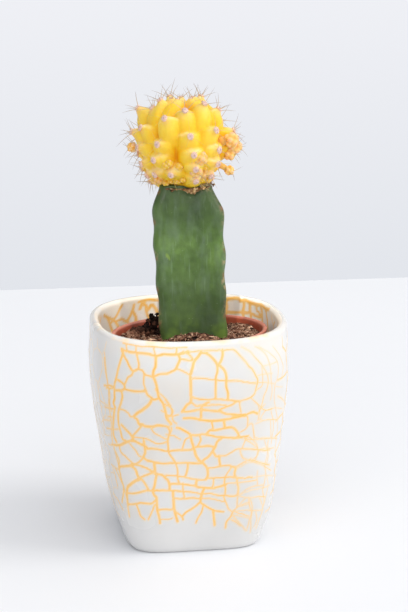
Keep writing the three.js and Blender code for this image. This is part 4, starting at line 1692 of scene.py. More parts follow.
@dataclass
class Rootstock:
    """Three round ribs joined by hollow faces, in the leaning frame."""

    axis: tuple[float, float] = (2.1, 3.0)
    turn: float = -9.0
    foot: float = 34.0
    top: float = 119.2
    rib_reach: float = 14.05
    rib_reach_at_soil: float = 13.3
    rib_radius: float = 2.6
    face_hollow: float = 1.45
    waist_start: float = 62.0
    waist_end: float = 100.0
    bevel_start: float = 108.5
    rib_at_top: tuple[float, float, float] = (0.75, 0.64, 0.7)
    wave_depth: float = 0.35
    wave_pitch: float = 14.0
    arc_points: int = 15
    face_points: int = 15
    cork_spots: Sequence[Triple] = (
        (83.5, 2.4, 1.8), (91.5, 1.3, 1.5), (97.5, 0.8, 1.0), (108, 4.0, 0.8), (74, 1.6, 0.9),
    )  # fmt: skip

    def ring(self, height: float) -> tuple[np.ndarray, np.ndarray, np.ndarray]:
        """One cross-section.

        Args:
            height: Its height.

        Returns:
            The points, how near each is to a rib's crest, and the number of its rib.
        """
        bevel = float(smoothstep(height, self.bevel_start, self.top + 2))
        above_waist = float(smoothstep(height, self.waist_start, self.waist_end))
        full = lerp(self.rib_reach_at_soil, self.rib_reach, above_waist)
        tips = []
        for rib, at_top in enumerate(self.rib_at_top):
            wave = self.wave_depth * math.cos(2 * math.pi * height / self.wave_pitch + 2.1 * rib)
            reach = (full + wave) * lerp(1, at_top, bevel) - self.rib_radius
            angle = math.radians(-150 + 120 * rib + self.turn)
            spread = angle + np.radians(np.linspace(-70, 70, self.arc_points))
            centre = reach * np.array([math.cos(angle), math.sin(angle)])
            tips.append(centre + self.rib_radius * np.column_stack([np.cos(spread), np.sin(spread)]))
        points, crest, owner = [], [], []
        for rib, arc in enumerate(tips):
            start, end = arc[-1], tips[(rib + 1) % 3][0]
            middle = (start + end) / 2
            control = middle * (1 - 2 * self.face_hollow * (1 - bevel) / np.hypot(*middle))
            t = np.linspace(0, 1, self.face_points + 2)[1:-1, None]
            points += [arc, bow(start, control, end, t)]
            crest += [1 - np.abs(np.linspace(-1, 1, self.arc_points)), np.zeros(self.face_points)]
            owner += [np.full(self.arc_points + self.face_points, rib)]
        flat = np.concatenate(points) + np.array(self.axis)
        section = np.column_stack([flat, np.full(len(flat), height)])
        return section, np.concatenate(crest), np.concatenate(owner)

    def build(self) -> None:
        """Makes the stem, its scars and its skin."""
        edge = self.top - 0.3
        sides = [*np.arange(self.foot, self.bevel_start, 0.8), *np.linspace(self.bevel_start, edge, 16)]
        layers = [(float(height), 1.0, float(height)) for height in sides]
        layers += [(edge, 0.93, self.top), (edge, 0.6, self.top + 0.1), (edge, 0.15, self.top + 0.1)]
        middle = np.array([*self.axis, 0])
        rings, crests, owners = [], [], []
        for cut, share, height in layers:
            section, crest, owner = self.ring(cut)
            section = middle + (section - middle) * np.array([share, share, 0]) + np.array([0, 0, height])
            rings.append(section)
            crests.append(crest)
            owners.append(owner)
        points, faces = capped_rings(np.array(rings))
        outward = unit((points - middle) * np.array([1, 1, 0]) + 1e-9)
        rough = 0.15 * octaves(points, 9, 3, 4) + 0.05 * octaves(points, 1.6, 2, 8)
        points = points + outward * rough[:, None]
        crest, owner = np.concatenate([*crests, [0, 0]]), np.concatenate([*owners, [0, 0]])
        scar = self.scars(points[:, 2], crest, owner)
        points = points + outward * (0.25 * scar)[:, None]
        corky = np.clip(crest - 0.45, 0, 1) * self.corky(points[:, 2], owner)
        cut = smoothstep(points[:, 2], self.top - 3.5, self.top - 0.6) * (points[:, 0] > 6)
        foot = 1 - smoothstep(points[:, 2], 66, 76)
        skin = Skin()
        shade = 0.8 * smoothstep(points[:, 2], 98, 116) + 0.95 * (1 - smoothstep(points[:, 2], 72, 96))
        cork = np.clip(corky + 0.8 * cut, 0, 1)
        skin.add(LEAN.to_world(points), faces, cork=cork, scar=scar, foot=foot, shade=shade)
        dress(skin.build("rootstock_skin", StemFinish().material()), Slot.STEM, "rootstock")

    def corky(self, height: np.ndarray, owner: np.ndarray) -> np.ndarray:
        """How corky a rib's crest is at each height; the right one most.

        Args:
            height: Height of each point.
            owner: Number of each point's rib.

        Returns:
            A value for each point, 0 where the crest is green.
        """
        right = 0.25 * (value_noise(np.column_stack([height, owner, owner]), 2.5, 9) > 0.1)
        for at, reach, share in self.cork_spots:
            right = np.maximum(right, share * np.exp(-(((height - at) / reach) ** 2)))
        left = 0.9 * np.exp(-(((height - 71) / 3) ** 2)) + 1.2 * np.exp(-(((height - 94.5) / 1.2) ** 2))
        return np.where(owner == 1, right, np.where(owner == 0, left, 0.3))

    def scars(self, height: np.ndarray, crest: np.ndarray, owner: np.ndarray) -> np.ndarray:
        """How much each point of the skin belongs to a brown areole scar on a crest.

        Args:
            height: Height of each point.
            crest: How near each point is to its rib's crest.
            owner: Number of each point's rib.

        Returns:
            A value from 0 to 1 for each point.
        """
        found = np.zeros(height.shape)
        for rib in range(3):
            for k in range(5):
                at = 70 + 3 * rib + self.wave_pitch * 0.85 * k + 1.5 * math.sin(5 * rib + 3 * k)
                size = 0.65 + 0.25 * math.sin(2.3 * k + rib)
                near = np.exp(-(((height - at) / size) ** 2)) * smoothstep(crest, 0.6, 0.92)
                found = np.maximum(found, near * (owner == rib))
        return found


# Soil

@dataclass
class Soil:
    """Peat that fills the nursery pot, with crumbs, fibres and one dark clod."""

    pot: NurseryPot
    stem: Rootstock
    depth: float = 2.9
    mound_rise: float = 1.5
    mound_reach: float = 17.0
    swell: float = 0.4
    clod: tuple[float, float] = (-11.3, 9.0)
    clod_height: float = 10.2
    clod_length: float = 11.5
    clod_lumps: int = 230
    crumbs: int = 1300
    crumb_reach: float = 25.0
    crumb_edge: float = 25.4
    fibres: int = 650
    fibre_reach: float = 24.0
    fibre_edge: float = 25.3
    seed: int = 77
    segments: int = 200

    def level(self) -> float:
        """Height of the plain surface."""
        return self.pot.height - self.depth

    def surface(self, x: np.ndarray, y: np.ndarray) -> np.ndarray:
        """Height of the surface, without its grain.

        Args:
            x: Distance to the right of the pot's axis.
            y: Distance behind the pot's axis.

        Returns:
            Height above the pot's underside, along the pot's axis.
        """
        near = np.hypot(x - self.stem.axis[0], y + 2) / self.mound_reach
        mound = self.mound_rise * (1 - smoothstep(near, 0.2, 1))
        return self.level() + mound + self.swell * (np.sin(0.31 * x + 1) + 0.9 * np.cos(0.27 * y - 0.16 * x))

    def build(self) -> None:
        """Makes the body of the soil and all that lies on it."""
        skin = Skin()
        self.add_body(skin)
        self.add_crumbs(skin)
        self.add_clod(skin)
        self.add_fibres(skin)
        dress(skin.build("soil_peat", SoilFinish().material()), Slot.SOIL, "soil")

    def add_body(self, skin: Skin) -> None:
        """Adds the filling with its grainy top.

        Args:
            skin: What it is added to.
        """
        low = self.pot.floor + 0.3
        rings = []
        for height in (low, 20.0, 40.0, self.level() - 2):
            radius = float(self.pot.inside(np.array(height))) - 0.5
            rings.append(circle(radius, height, self.segments))
        edge = float(self.pot.inside(np.array(self.level()))) - 0.4
        for radius in np.linspace(edge, 1, 70):
            flat = circle(radius, 0.0, self.segments)
            x, y, _ = flat.T
            grain = 0.55 * octaves(flat, 2.2, 3, 3) + 0.3 * octaves(flat, 6, 2, 5)
            rings.append(np.column_stack([x, y, self.surface(x, y) + grain]))
        points, faces = capped_rings(np.array(rings))
        tone = 0.2 + 0.3 * octaves(points, 1.3, 2, 12)
        skin.add(LEAN.to_world(points), faces, tone=np.clip(tone, 0, 1))

    def add_lump(
        self, skin: Skin, place: np.ndarray, size: np.ndarray, tone: float, level: int, seed: int
    ) -> None:
        """Adds one rough lump.

        Args:
            skin: What it is added to.
            place: Its middle.
            size: Its half-sizes.
            tone: How light its brown is.
            level: Fineness of its mesh.
            seed: Picks its shape.
        """
        points, faces = SPHERES[level]
        offset = np.array([seed * 3.7, seed * 1.3, seed * 2.1])
        swell = 1 + 0.55 * value_noise(points + offset, 0.8, 2) + 0.3 * value_noise(points + offset, 0.35, 6)
        turned = points * swell[:, None] * size
        cosine, sine = math.cos(seed * 1.7), math.sin(seed * 1.7)
        spin = np.array([[cosine, -sine, 0], [sine, cosine, 0], [0, 0, 1]])
        skin.add(LEAN.to_world(turned @ spin.T + place), faces, tone=tone)

    def is_clear(self, x: float, y: float, gap: float) -> bool:
        """Whether a place is outside the stem.

        Args:
            x: Distance to the right of the pot's axis.
            y: Distance behind the pot's axis.
            gap: How far outside the stem it has to be.

        Returns:
            True where it is clear of the stem.
        """
        section, _, _ = self.stem.ring(self.level())
        flat = section[:, :2] - np.array(self.stem.axis)
        away = (x - self.stem.axis[0], y - self.stem.axis[1])
        aside = np.arctan2(flat[:, 1], flat[:, 0]) - math.atan2(away[1], away[0])
        nearest = int(np.argmin(np.abs(np.angle(np.exp(1j * aside)))))
        return math.hypot(*away) > float(np.hypot(*flat[nearest])) + gap

    def scatter(self, random: np.random.Generator, reach: float) -> tuple[float, float, float]:
        """Picks a place evenly within a reach: its distance from the middle, x and y."""
        out, angle = reach * math.sqrt(random.random()), 2 * math.pi * random.random()
        return out, out * math.cos(angle), out * math.sin(angle)

    def add_crumbs(self, skin: Skin) -> None:
        """Scatters crumbs, most of them small.

        Args:
            skin: What it is added to.
        """
        random = np.random.default_rng(self.seed)
        laid = 0
        while laid < self.crumbs:
            out, x, y = self.scatter(random, self.crumb_reach)
            size = 0.3 + 0.7 * random.random() ** 2.5
            if not self.is_clear(x, y, size * 0.6) or out + size > self.crumb_edge:
                continue
            place = np.array([x, y, float(self.surface(np.array(x), np.array(y))) + size * 0.35])
            tone = float(np.clip(0.5 + 0.27 * random.normal(), 0.02, 0.95))
            stretch = np.array([1.25, 0.5 + 0.5 * random.random(), 0.35 + 0.35 * random.random()])
            self.add_lump(skin, place, size * stretch, tone, int(size > 0.36) + int(size > 0.92), laid)
            laid += 1

    def add_clod(self, skin: Skin) -> None:
        """Piles the dark clod beside the stem; it falls off to the left.

        Args:
            skin: What it is added to.
        """
        random = np.random.default_rng(self.seed + 1)
        base = self.level()
        for k in range(self.clod_lumps):
            out = (k / (self.clod_lumps - 1)) ** 0.9
            high, low = smoothstep(np.array([out, out]), np.array([0.22, 0.75]), np.array([0.58, 1.0]))
            crest = (self.clod_height - 5.0) * (1 - high) + 2.3 * (1 - low)
            rise = float(crest) * random.random() ** 0.7
            x = self.clod[0] + 2 - self.clod_length * out + random.uniform(-0.8, 0.8)
            y = self.clod[1] + (2.6 - 0.28 * rise) * random.uniform(-1, 1) - 0.4 * out
            size = (1.0 if k % 3 == 0 else 0.5) * random.uniform(0.7, 1.3) * (1 - 0.05 * rise)
            pale = (0.2 if k % 13 == 0 else 0) + 0.7 * out * (1 - min(rise / 2.6, 1))
            tone = 0.1 * random.random() ** 2 + pale
            place = np.array([x, y, base + 0.5 + rise])
            self.add_lump(skin, place, size * np.array([1, 0.8, 0.8]), tone, 2 if k % 3 == 0 else 1, 900 + k)

    def add_fibres(self, skin: Skin) -> None:
        """Strews short tan fibres over the surface.

        Args:
            skin: What it is added to.
        """
        random = np.random.default_rng(self.seed + 2)
        laid = 0
        while laid < self.fibres:
            _, x, y = self.scatter(random, self.fibre_reach)
            if not self.is_clear(x, y, 0.8):
                continue
            length, heading = 0.8 + 2.0 * random.random() ** 3, 2 * math.pi * random.random()
            t = np.linspace(-0.5, 0.5, 6)
            bend = random.uniform(-0.14, 0.14)
            across = x + length * (t * math.cos(heading) - bend * t * t * math.sin(heading))
            deep = y + length * (t * math.sin(heading) + bend * t * t * math.cos(heading))
            if np.hypot(across, deep).max() >= self.fibre_edge:
                continue
            high = self.surface(across, deep) + 0.45 + 0.5 * random.random() + random.uniform(-0.8, 0.8) * t
            radius = 0.05 + 0.12 * random.random() ** 2
            radii = radius * np.array([0.6, 1, 1, 1, 1, 0.5])
            points, faces = tube(np.column_stack([across, deep, high]), radii, 5)
            tone = float(np.clip(0.62 + 0.24 * random.normal(), 0.1, 1))
            skin.add(LEAN.to_world(points), faces, tone=tone)
            laid += 1


# Scion

@dataclass(frozen=True)
class Tubercle:
    """One tubercle: degrees right of the front, latitude and size."""

    turn: float
    latitude: float
    size: float


@dataclass(frozen=True)
class Rib:
    """One rib: its turn at the middle, how it leans with latitude, and its first and last row."""

    turn: float
    highest: float
    size_of_highest: float = 1.0
    lean: float = 0.0
    lowest: float = -54.0


@dataclass(frozen=True)
class Pup:
    """One pup: degrees right of the front, latitude, distance of its middle and radius."""

    turn: float
    latitude: float
    distance: float
    radius: float


@dataclass
class Scion:
    """The grafted yellow cactus: ribs of tubercles, spines and pups."""

    stem: Rootstock
    centre_height: float = 132.8
    core: float = 12.2
    shoulder: float = 1.1
    crown_dip: float = 1.6
    underside: float = 2.5
    height: float = 4.3
    tip_height: float = 0.8
    tip_flat: float = 2.4
    tip_reach: float = 7.4
    step: float = 17.0
    step_growth: float = 0.33
    width_at_pole: float = 8.0
    width_at_middle: float = 14.5
    shelf_depth: float = 2.0
    chin_fall: float = 0.66
    chin_end: float = 1.25
    skew: float = 0.3
    drum: float = 1.0
    blend: float = 5.0
    seed: int = 20
    spine_seed: int = 29
    spine_length: float = 6.1
    spine_length_below: float = 4.6
    spine_length_on_pup: float = 3.0
    spine_radius: float = 0.1
    spread: float = 48.0
    bend: float = 14.0
    root: float = 1.0
    footing: float = 0.9
    hairs: int = 9
    small_pups: int = 46
    knobs: int = 12
    columns: int = 432
    rows: int = 200
    ribs: Sequence[Rib] = (
        Rib(9.5, 48, 1, -0.13, -42), Rib(43, 54, 1, 0, -40), Rib(88, 44, 0.85, 0, -15),
        Rib(128, 62), Rib(168, 46), Rib(212, 60, 1.05),
        Rib(260, 40, 1.5), Rib(292, 62, 1, 0, -40), Rib(324, 36, 1.1, 0.33, -36),
    )  # fmt: skip
    strays: Sequence[Tubercle] = (Tubercle(276, 16, 1.4), Tubercle(340, -31, 0.95), Tubercle(282, 51, 0.85))
    crown: Sequence[Tubercle] = tuple(Tubercle(-27 + 72 * k, 76, 0.85) for k in range(5))
    pups: Sequence[Pup] = (
        Pup(74, 4, 17.2, 2.5), Pup(84, -5, 17.6, 2.6), Pup(80, -14, 16.4, 2),
        Pup(-88, -1, 18.6, 1.7), Pup(70, -30, 18.8, 1.6), Pup(22, -14, 14.8, 2.3),
        Pup(16, -31, 15, 2.4), Pup(30, -40, 14.6, 2), Pup(-56, -44, 16.6, 1.5),
        Pup(150, -22, 16.8, 2.4), Pup(176, -34, 16, 2.1), Pup(-132, -18, 17.2, 2.2),
    )  # fmt: skip
    flakes: Sequence[Triple] = (
        (14, 3.4, 2.4), (4, 2.2, 1.6), (24, 1.8, 1.4), (-34, 1.6, 1.2),
        (52, 2.4, 1.3), (150, 2.6, 1.8), (220, 2.0, 1.4),
    )  # fmt: skip
    small_flakes: int = 30
    tubercles: list[Tubercle] = field(init=False)

    def __post_init__(self) -> None:
        """Lays the tubercles."""
        self.tubercles = self.lay_tubercles()

    def tubercle_step(self, latitude: float) -> float:
        """Angle to the next tubercle below."""
        return self.step + self.step_growth * max(latitude, 0)

    def lay_tubercles(self) -> list[Tubercle]:
        """Places a column of tubercles on each rib and a small ring round the growing point.

        Returns:
            The tubercles of the ribs, then the strays and the crown.
        """
        random = Stream(self.seed)
        laid = []
        for rib in self.ribs:
            row = float(rib.highest)
            while row > rib.lowest:
                size = (0.9 + 0.22 * random()) * (rib.size_of_highest if row == rib.highest else 1)
                turn = rib.turn + rib.lean * row + 3 * (random() - 0.5)
                laid.append(Tubercle(turn, row + 3 * (random() - 0.5), size))
                row -= self.tubercle_step(row)
        return [*laid, *self.strays, *self.crown]

    def direction(self, turn: np.ndarray, latitude: np.ndarray) -> np.ndarray:
        """Unit vectors from the scion's middle.

        Args:
            turn: Degrees to the right of the front.
            latitude: Degrees above the middle.

        Returns:
            The vectors, with x, y and z in the last axis.
        """
        angle = np.radians(np.asarray(turn, dtype=float) - 90 + self.stem.turn)
        up = np.radians(np.asarray(latitude, dtype=float))
        level = np.cos(up)
        return np.stack([level * np.cos(angle), level * np.sin(angle), np.sin(up) + 0 * angle], axis=-1)

    def skin_radius(
        self, turn: np.ndarray, latitude: np.ndarray
    ) -> tuple[np.ndarray, np.ndarray, np.ndarray]:
        """Shape of the skin.

        Args:
            turn: Degrees to the right of the front.
            latitude: Degrees above the middle.

        Returns:
            The radius, how far the skin stands above the valleys from 0 to about 1, and how near
            a tubercle's tip is.
        """
        total = np.ones(np.broadcast(turn, latitude).shape)
        near_tip = np.zeros(total.shape)
        for tubercle in self.tubercles:
            rise = latitude - tubercle.latitude
            narrowing = np.cos(np.radians(0.5 * (latitude + tubercle.latitude)))
            away = narrowing * ((turn - tubercle.turn + 540) % 360 - 180)
            slant = away + self.skew * math.sin(tubercle.turn + 2 * tubercle.latitude) * rise
            width = self.width_at_pole + self.width_at_middle * math.cos(math.radians(tubercle.latitude))
            step = self.tubercle_step(tubercle.latitude)
            side = np.clip(1 - np.abs(slant / width) ** 2.3, 0, 1)
            above = np.clip((rise - self.shelf_depth) / (8 + 0.12 * step), 0, 1)
            below = np.maximum(-rise - self.shelf_depth, 0) / (1.15 * step)
            chin = np.clip(1 - self.chin_fall * below**1.3, 0, 1)
            chin = chin * np.clip((self.chin_end - below) / 0.4, 0, 1)
            distance = np.hypot(away, rise)
            off_tip = np.maximum(distance - self.tip_flat, 0) / (self.tip_reach - self.tip_flat)
            tip = np.clip(1 - off_tip, 0, 1) ** 1.5
            bump = tubercle.size * (self.height * side * (1 - above**1.4) * chin + self.tip_height * tip)
            total += np.exp(self.blend * bump) - 1
            near_tip = np.maximum(near_tip, np.exp(-((distance / 5.5) ** 2)))
        lift = np.log(total) / self.blend
        shape = self.core + self.shoulder * smoothstep(latitude, 5, 45)
        shape = shape - self.crown_dip * smoothstep(latitude, 64, 87)
        shape = shape + self.underside * smoothstep(-np.asarray(latitude), 42, 66)
        fuller = (1 - np.sin(np.radians(turn))) / 2
        shape = shape + self.drum * fuller * smoothstep(-np.asarray(latitude), 4, 30)
        return shape + lift, lift / self.height, near_tip

    def to_world(self, points: np.ndarray) -> np.ndarray:
        """Places points that are given from the scion's middle."""
        return LEAN.to_world(np.asarray(points) + np.array([*self.stem.axis, self.centre_height]))

    def build(self) -> None:
        """Makes the skin, pads, spines, pups and the dry bits at the graft."""
        flesh = Skin()
        self.add_body(flesh)
        self.add_knobs(flesh)
        dress(flesh.build("scion_flesh", ScionFinish().material()), Slot.SCION, "scion")
        pads, spines, buds, flakes = Skin(), Skin(), Skin(), Skin()
        random = Stream(self.spine_seed)
        for pup in self.pups:
            self.add_pup(buds, spines, pup, random)
        for number, tubercle in enumerate(self.tubercles):
            self.add_areole(pads, spines, tubercle, number, random)
        self.add_flakes(flakes)
        bud_finish = ScionFinish("pup_peach", "F8AE4A", "FEC560", "FFDC92", "FFEEC6", "FBB896")
        dress(buds.build("scion_pups", bud_finish.material()), Slot.SCION)
        dress(pads.build("scion_areoles", PadFinish().material()), Slot.SCION)
        dress(spines.build("scion_spines", SpineFinish().material()), Slot.SCION)
        dress(flakes.build("graft_dry_skin", FlakeFinish().material()), Slot.SCION)

    def add_body(self, skin: Skin) -> None:
        """Adds the flesh.

        Args:
            skin: What it is added to.
        """
        turn = 360 * np.arange(self.columns) / self.columns
        latitude = np.linspace(-84, 87, self.rows)
        turns, latitudes = np.meshgrid(turn, latitude)
        radius, lift, near_tip = self.skin_radius(turns, latitudes)
        way = self.direction(turns, latitudes)
        radius = radius + 0.10 * octaves(way * 16, 2.6, 3, 21)
        points, faces = capped_rings(way * radius[..., None])
        low = smoothstep(-latitudes, -5, 40)
        side = smoothstep(np.abs((turns + 180) % 360 - 180), 45, 80)
        peach = np.clip(near_tip * np.maximum(0.85 * low, 0.3 + 0.35 * side * (latitudes < 50)), 0, 1)
        ledge = self.ledges(turns, latitudes)
        ends = np.zeros(2)
        # lift drives the painted valley shade and ridge light; the pale rims above the areoles are painted
        # highlights.
        skin.add(
            self.to_world(points),
            faces,
            lift=np.concatenate([lift.ravel(), ends]),
            peach=np.concatenate([peach.ravel(), ends]),
            ledge=np.concatenate([ledge.ravel(), ends]),
        )

    def ledges(self, turns: np.ndarray, latitudes: np.ndarray) -> np.ndarray:
        """Painted highlight: each tubercle has a pale rim above its areole, where its top catches the light,
        or a pale tip at the crown.

        Args:
            turns: Degrees to the right of the front.
            latitudes: Degrees above the middle.

        Returns:
            A value from 0 to 0.85 for each point.
        """
        pale = np.zeros(turns.shape)
        for tubercle in self.tubercles:
            rise = latitudes - tubercle.latitude
            away = np.cos(np.radians(tubercle.latitude)) * ((turns - tubercle.turn + 540) % 360 - 180)
            lean = away - 4 * math.sin(3 * tubercle.turn)
            across = np.exp(-((np.abs(lean) / 10) ** 3))
            line = 4.2 - 0.012 * lean**2 + 0.8 * np.sin(lean * 0.6 + tubercle.turn)
            pale = np.maximum(pale, across * np.exp(-(((rise - line) / 2.6) ** 2)))
            crown = 0.5 * float(smoothstep(np.array(tubercle.latitude), 22, 50))
            pale = np.maximum(pale, crown * np.exp(-((rise / 9) ** 2) - (away / 9) ** 2))
        return 0.85 * pale

    def needle_paths(
        self, place: np.ndarray, axis: np.ndarray, count: int, length: float, random: Stream
    ) -> list[np.ndarray]:
        """Lays spines round an areole like the rays of a star.

        Args:
            place: The areole.
            axis: The way it looks.
            count: Number of spines.
            length: Their mean length.
            random: The stream that the solids use.

        Returns:
            Root, knee and tip of each.
        """
        side, rise = side_and_rise(axis)
        first = 360 * random()
        found = []
        for k in range(count):
            turn = math.radians(first + 360 * k / count + 20 * (random() - 0.5))
            spread = math.radians(self.spread + 18 * (random() - 0.5))
            away = side * math.cos(turn) + rise * math.sin(turn)
            aim = axis * math.cos(spread) + away * math.sin(spread)
            start = place - aim * self.root + away * self.footing
            reach = length * (0.8 + 0.4 * random()) + self.root
            knee = start + aim * reach * 0.5
            bent = unit(aim + away * math.tan(math.radians(self.bend)))
            found.append(np.array([start, knee, knee + bent * reach * 0.5]))
        return found

    def add_spine(self, skin: Skin, path: np.ndarray, radius: float, pale: float = 0.0) -> None:
        """Adds one curved spine that tapers to a point; a pale one is yellow as the skin.

        Args:
            skin: What it is added to.
            path: Root, knee and tip.
            radius: Radius at its root.
            pale: How yellow it is, from 0 to 1.
        """
        t = np.linspace(0, 1, 8)[:, None]
        start, knee, tip = path
        control = 2 * knee - (start + tip) / 2
        curve = bow(start, control, tip, t)
        radii = radius * np.array([1.1, 1.05, 1.0, 0.9, 0.78, 0.6, 0.38, 0.12])
        points, faces = tube(curve, radii, 6)
        along = np.concatenate([np.repeat(t[:, 0], 6), [0, 1]])
        skin.add(self.to_world(points), faces, along=along, pale=pale)

    def add_areole(self, pads: Skin, spines: Skin, tubercle: Tubercle, number: int, random: Stream) -> None:
        """Adds the woolly pad of a tubercle and its spines.

        Args:
            pads: What the wool is added to.
            spines: What the spines are added to.
            tubercle: The tubercle that carries it.
            number: Its number, which picks its wool.
            random: The stream that the solids use.
        """
        axis = self.direction(tubercle.turn, tubercle.latitude)
        radius, _, _ = self.skin_radius(np.array(tubercle.turn), np.array(tubercle.latitude))
        place = axis * float(radius)
        crown = tubercle in self.crown
        self.add_pad(pads, place, axis, 0.7 if crown else 1.05, number)
        upper = tubercle.latitude > 0
        length = self.spine_length if upper and not crown else self.spine_length_below
        count = 2 if crown else 5 if upper else 4
        turned = abs((tubercle.turn + 9 + 180) % 360 - 180)
        pale = 0.75 * float(1 - smoothstep(np.array(turned), 38, 62)) * (tubercle.latitude < 40)
        for path in self.needle_paths(place, axis, count, length, random):
            self.add_spine(spines, path, self.spine_radius * (1 - 0.45 * pale), pale)
        own = np.random.default_rng(500 + number)
        side, rise = side_and_rise(axis)
        for _ in range(self.hairs):
            turn, lean = own.uniform(0, 2 * math.pi), own.uniform(0.2, 1.2)
            away = side * math.cos(turn) + rise * math.sin(turn)
            aim = unit(axis + away * lean)
            start = place + away * 0.6 * own.random() - axis * 0.1
            reach = own.uniform(0.9, 1.9)
            self.add_spine(spines, np.array([start, start + aim * reach * 0.5, start + aim * reach]), 0.045)

    def add_pad(self, pads: Skin, place: np.ndarray, axis: np.ndarray, radius: float, number: int) -> None:
        """Adds one woolly pad.

        Args:
            pads: What the wool is added to.
            place: Its middle.
            axis: The way it looks.
            radius: Its radius.
            number: Its number, which picks its wool.
        """
        points, faces = SPHERES[3]
        side, rise = side_and_rise(axis)
        wool = 1 + 0.16 * value_noise(points * 3 + number * 2.3, 0.8, 3)
        wool = wool + 0.1 * value_noise(points * 3 + number, 0.35, 5)
        local = points * wool[:, None] * np.array([radius, radius * 1.15, radius * 0.5])
        placed = place + local[:, :1] * side + local[:, 1:2] * rise + local[:, 2:] * axis
        core = np.clip(1 - np.hypot(points[:, 0], points[:, 1]) / 0.55, 0, 1) * (points[:, 2] > 0)
        pads.add(self.to_world(placed), faces, core=core)

    def add_knobs(self, flesh: Skin) -> None:
        """Adds the smallest pups, which only just show, low on the skin.

        Args:
            flesh: What they are added to.
        """
        own = np.random.default_rng(47)
        for _ in range(self.small_pups):
            turn, latitude = own.uniform(-180, 180), -14 - 42 * own.random() ** 0.8
            radius, lift, _ = self.skin_radius(np.array(turn), np.array(latitude))
            if lift > 0.8:
                continue
            size = own.uniform(0.8, 1.35)
            self.add_ball(flesh, Pup(turn, latitude, float(radius) + 0.2 * size, size))

    def add_ball(self, buds: Skin, pup: Pup) -> None:
        """Adds one knobbly ball.

        Args:
            buds: What the flesh is added to.
            pup: Its place and size.
        """
        axis = self.direction(pup.turn, pup.latitude)
        points, faces = SPHERES[3 if pup.radius > 1.4 else 2]
        lift = np.zeros(len(points))
        tip = np.zeros(len(points))
        for k in range(self.knobs):
            z = 1 - 2 * (k + 0.5) / self.knobs
            angle, out = GOLDEN_ANGLE * k + pup.turn, math.sqrt(1 - z * z)
            knob = np.array([out * math.cos(angle), out * math.sin(angle), z])
            near = np.degrees(np.arccos(np.clip(points @ knob, -1, 1)))
            lift = np.maximum(lift, np.clip(1 - (near / 36) ** 2, 0, 1))
            tip = np.maximum(tip, np.exp(-((near / 12) ** 2)))
        ball = points * (pup.radius * (0.84 + 0.36 * lift))[:, None]
        peach = np.clip(0.9 * tip + 0.12, 0, 1)
        placed = self.to_world(ball + axis * pup.distance)
        # lift feeds the painted valley shade and ridge light of the flesh's colour.
        buds.add(placed, faces, lift=0.2 + 0.75 * lift, peach=peach, ledge=0.0)

    def add_pup(self, buds: Skin, spines: Skin, pup: Pup, random: Stream) -> None:
        """Adds one pup: a knobbly ball on a short neck, with a few spines.

        Args:
            buds: What the flesh is added to.
            spines: What the spines are added to.
            pup: Its place and size.
            random: The stream that the solids use.
        """
        self.add_ball(buds, pup)
        axis = self.direction(pup.turn, pup.latitude)
        neck = [axis * (self.core - 1), axis * (pup.distance - pup.radius * 0.5)]
        points, faces = tube(np.array(neck), [pup.radius * 0.8, pup.radius * 0.6], 12)
        buds.add(self.to_world(points), faces, lift=0.45, peach=0.1, ledge=0.0)
        place = axis * (pup.distance + pup.radius)
        for path in self.needle_paths(place, axis, 3, self.spine_length_on_pup, random):
            self.add_spine(spines, path, self.spine_radius * 0.8)

    def add_flakes(self, flakes: Skin) -> None:
        """Hangs crinkled flakes of dry skin from the underside, over the stem's cut edge.

        Args:
            flakes: What they are added to.
        """
        own = np.random.default_rng(61)
        hung = [
            (12 * k + own.uniform(-5, 5), own.uniform(1.2, 2.8), own.uniform(0.5, 1.3))
            for k in range(self.small_flakes)
        ]
        for turn, width, drop in (*self.flakes, *hung):
            u, v = np.meshgrid(np.linspace(-0.5, 0.5, 9), np.linspace(0, 1, 9))
            own_part = np.full(u.shape, float(turn))
            tears = value_noise(np.stack([u * 6, v * 0, own_part], axis=-1), 1, 7)
            ragged = 1 - 0.55 * np.abs(u * 2) ** 1.5 + 0.2 * tears
            crinkle = value_noise(np.stack([u * 5, v * 4, own_part], axis=-1), 1, 3)
            reach = 9.4 + 0.5 * np.sin(v * 2.4 + turn) + 0.35 * crinkle
            angle = np.radians(turn - 90 + self.stem.turn) + u * width / 9.5
            height = 118.2 - self.centre_height - v * drop * ragged
            sheet = np.stack([reach * np.cos(angle), reach * np.sin(angle), height], axis=-1)
            back = sheet * np.array([0.985, 0.985, 1.0])
            faces = grid_faces(9, 9, closed=False)
            front = [face[::-1] for face in faces]
            flakes.add(self.to_world(sheet.reshape(-1, 3)), front)
            flakes.add(self.to_world(back.reshape(-1, 3)), faces)


# Studio

MOUTH = ("planter_body", "planter_crackle_inside", "nursery_pot_body", "soil_peat")
FRONT = (*MOUTH, "planter_crackle", "rootstock_skin")
SNOOT = (0.05, 0.05)
WARM = (1.0, 0.96, 0.91)


@dataclass(frozen=True)
class Lamp:
    """A light: where it stands and what it looks at in metres, its size and strength.

    It is a soft rectangle, or a narrow round snoot where its cone is given in degrees. Where it
    names pieces, it lights only those.
    """

    name: str
    place: Triple
    target: Triple
    size: tuple[float, float]
    watts: float
    tint: Triple = (1.0, 1.0, 1.0)
    cone: float = 0.0
    pieces: Sequence[str] = ()

    def build(self) -> None:
        """Makes the light."""
        data = bpy.data.lights.new(self.name, "SPOT" if self.cone else "AREA")
        if self.cone:
            data.spot_size, data.spot_blend = math.radians(self.cone), 0.9
            data.shadow_soft_size = self.size[0] / 2
        else:
            data.shape = "RECTANGLE"
            data.size, data.size_y = self.size
        data.energy = self.watts
        data.color = self.tint
        made = bpy.data.objects.new(self.name, data)
        made.location = self.place
        way = np.array(self.target) - np.array(self.place)
        made.rotation_mode = "QUATERNION"
        made.rotation_quaternion = look(way)
        bpy.context.scene.collection.objects.link(made)
        if self.pieces:
            lit = bpy.data.collections.new(f"lit_by_{self.name}")
            for piece in self.pieces:
                lit.objects.link(bpy.data.objects[piece])
            made.light_linking.receiver_collection = lit


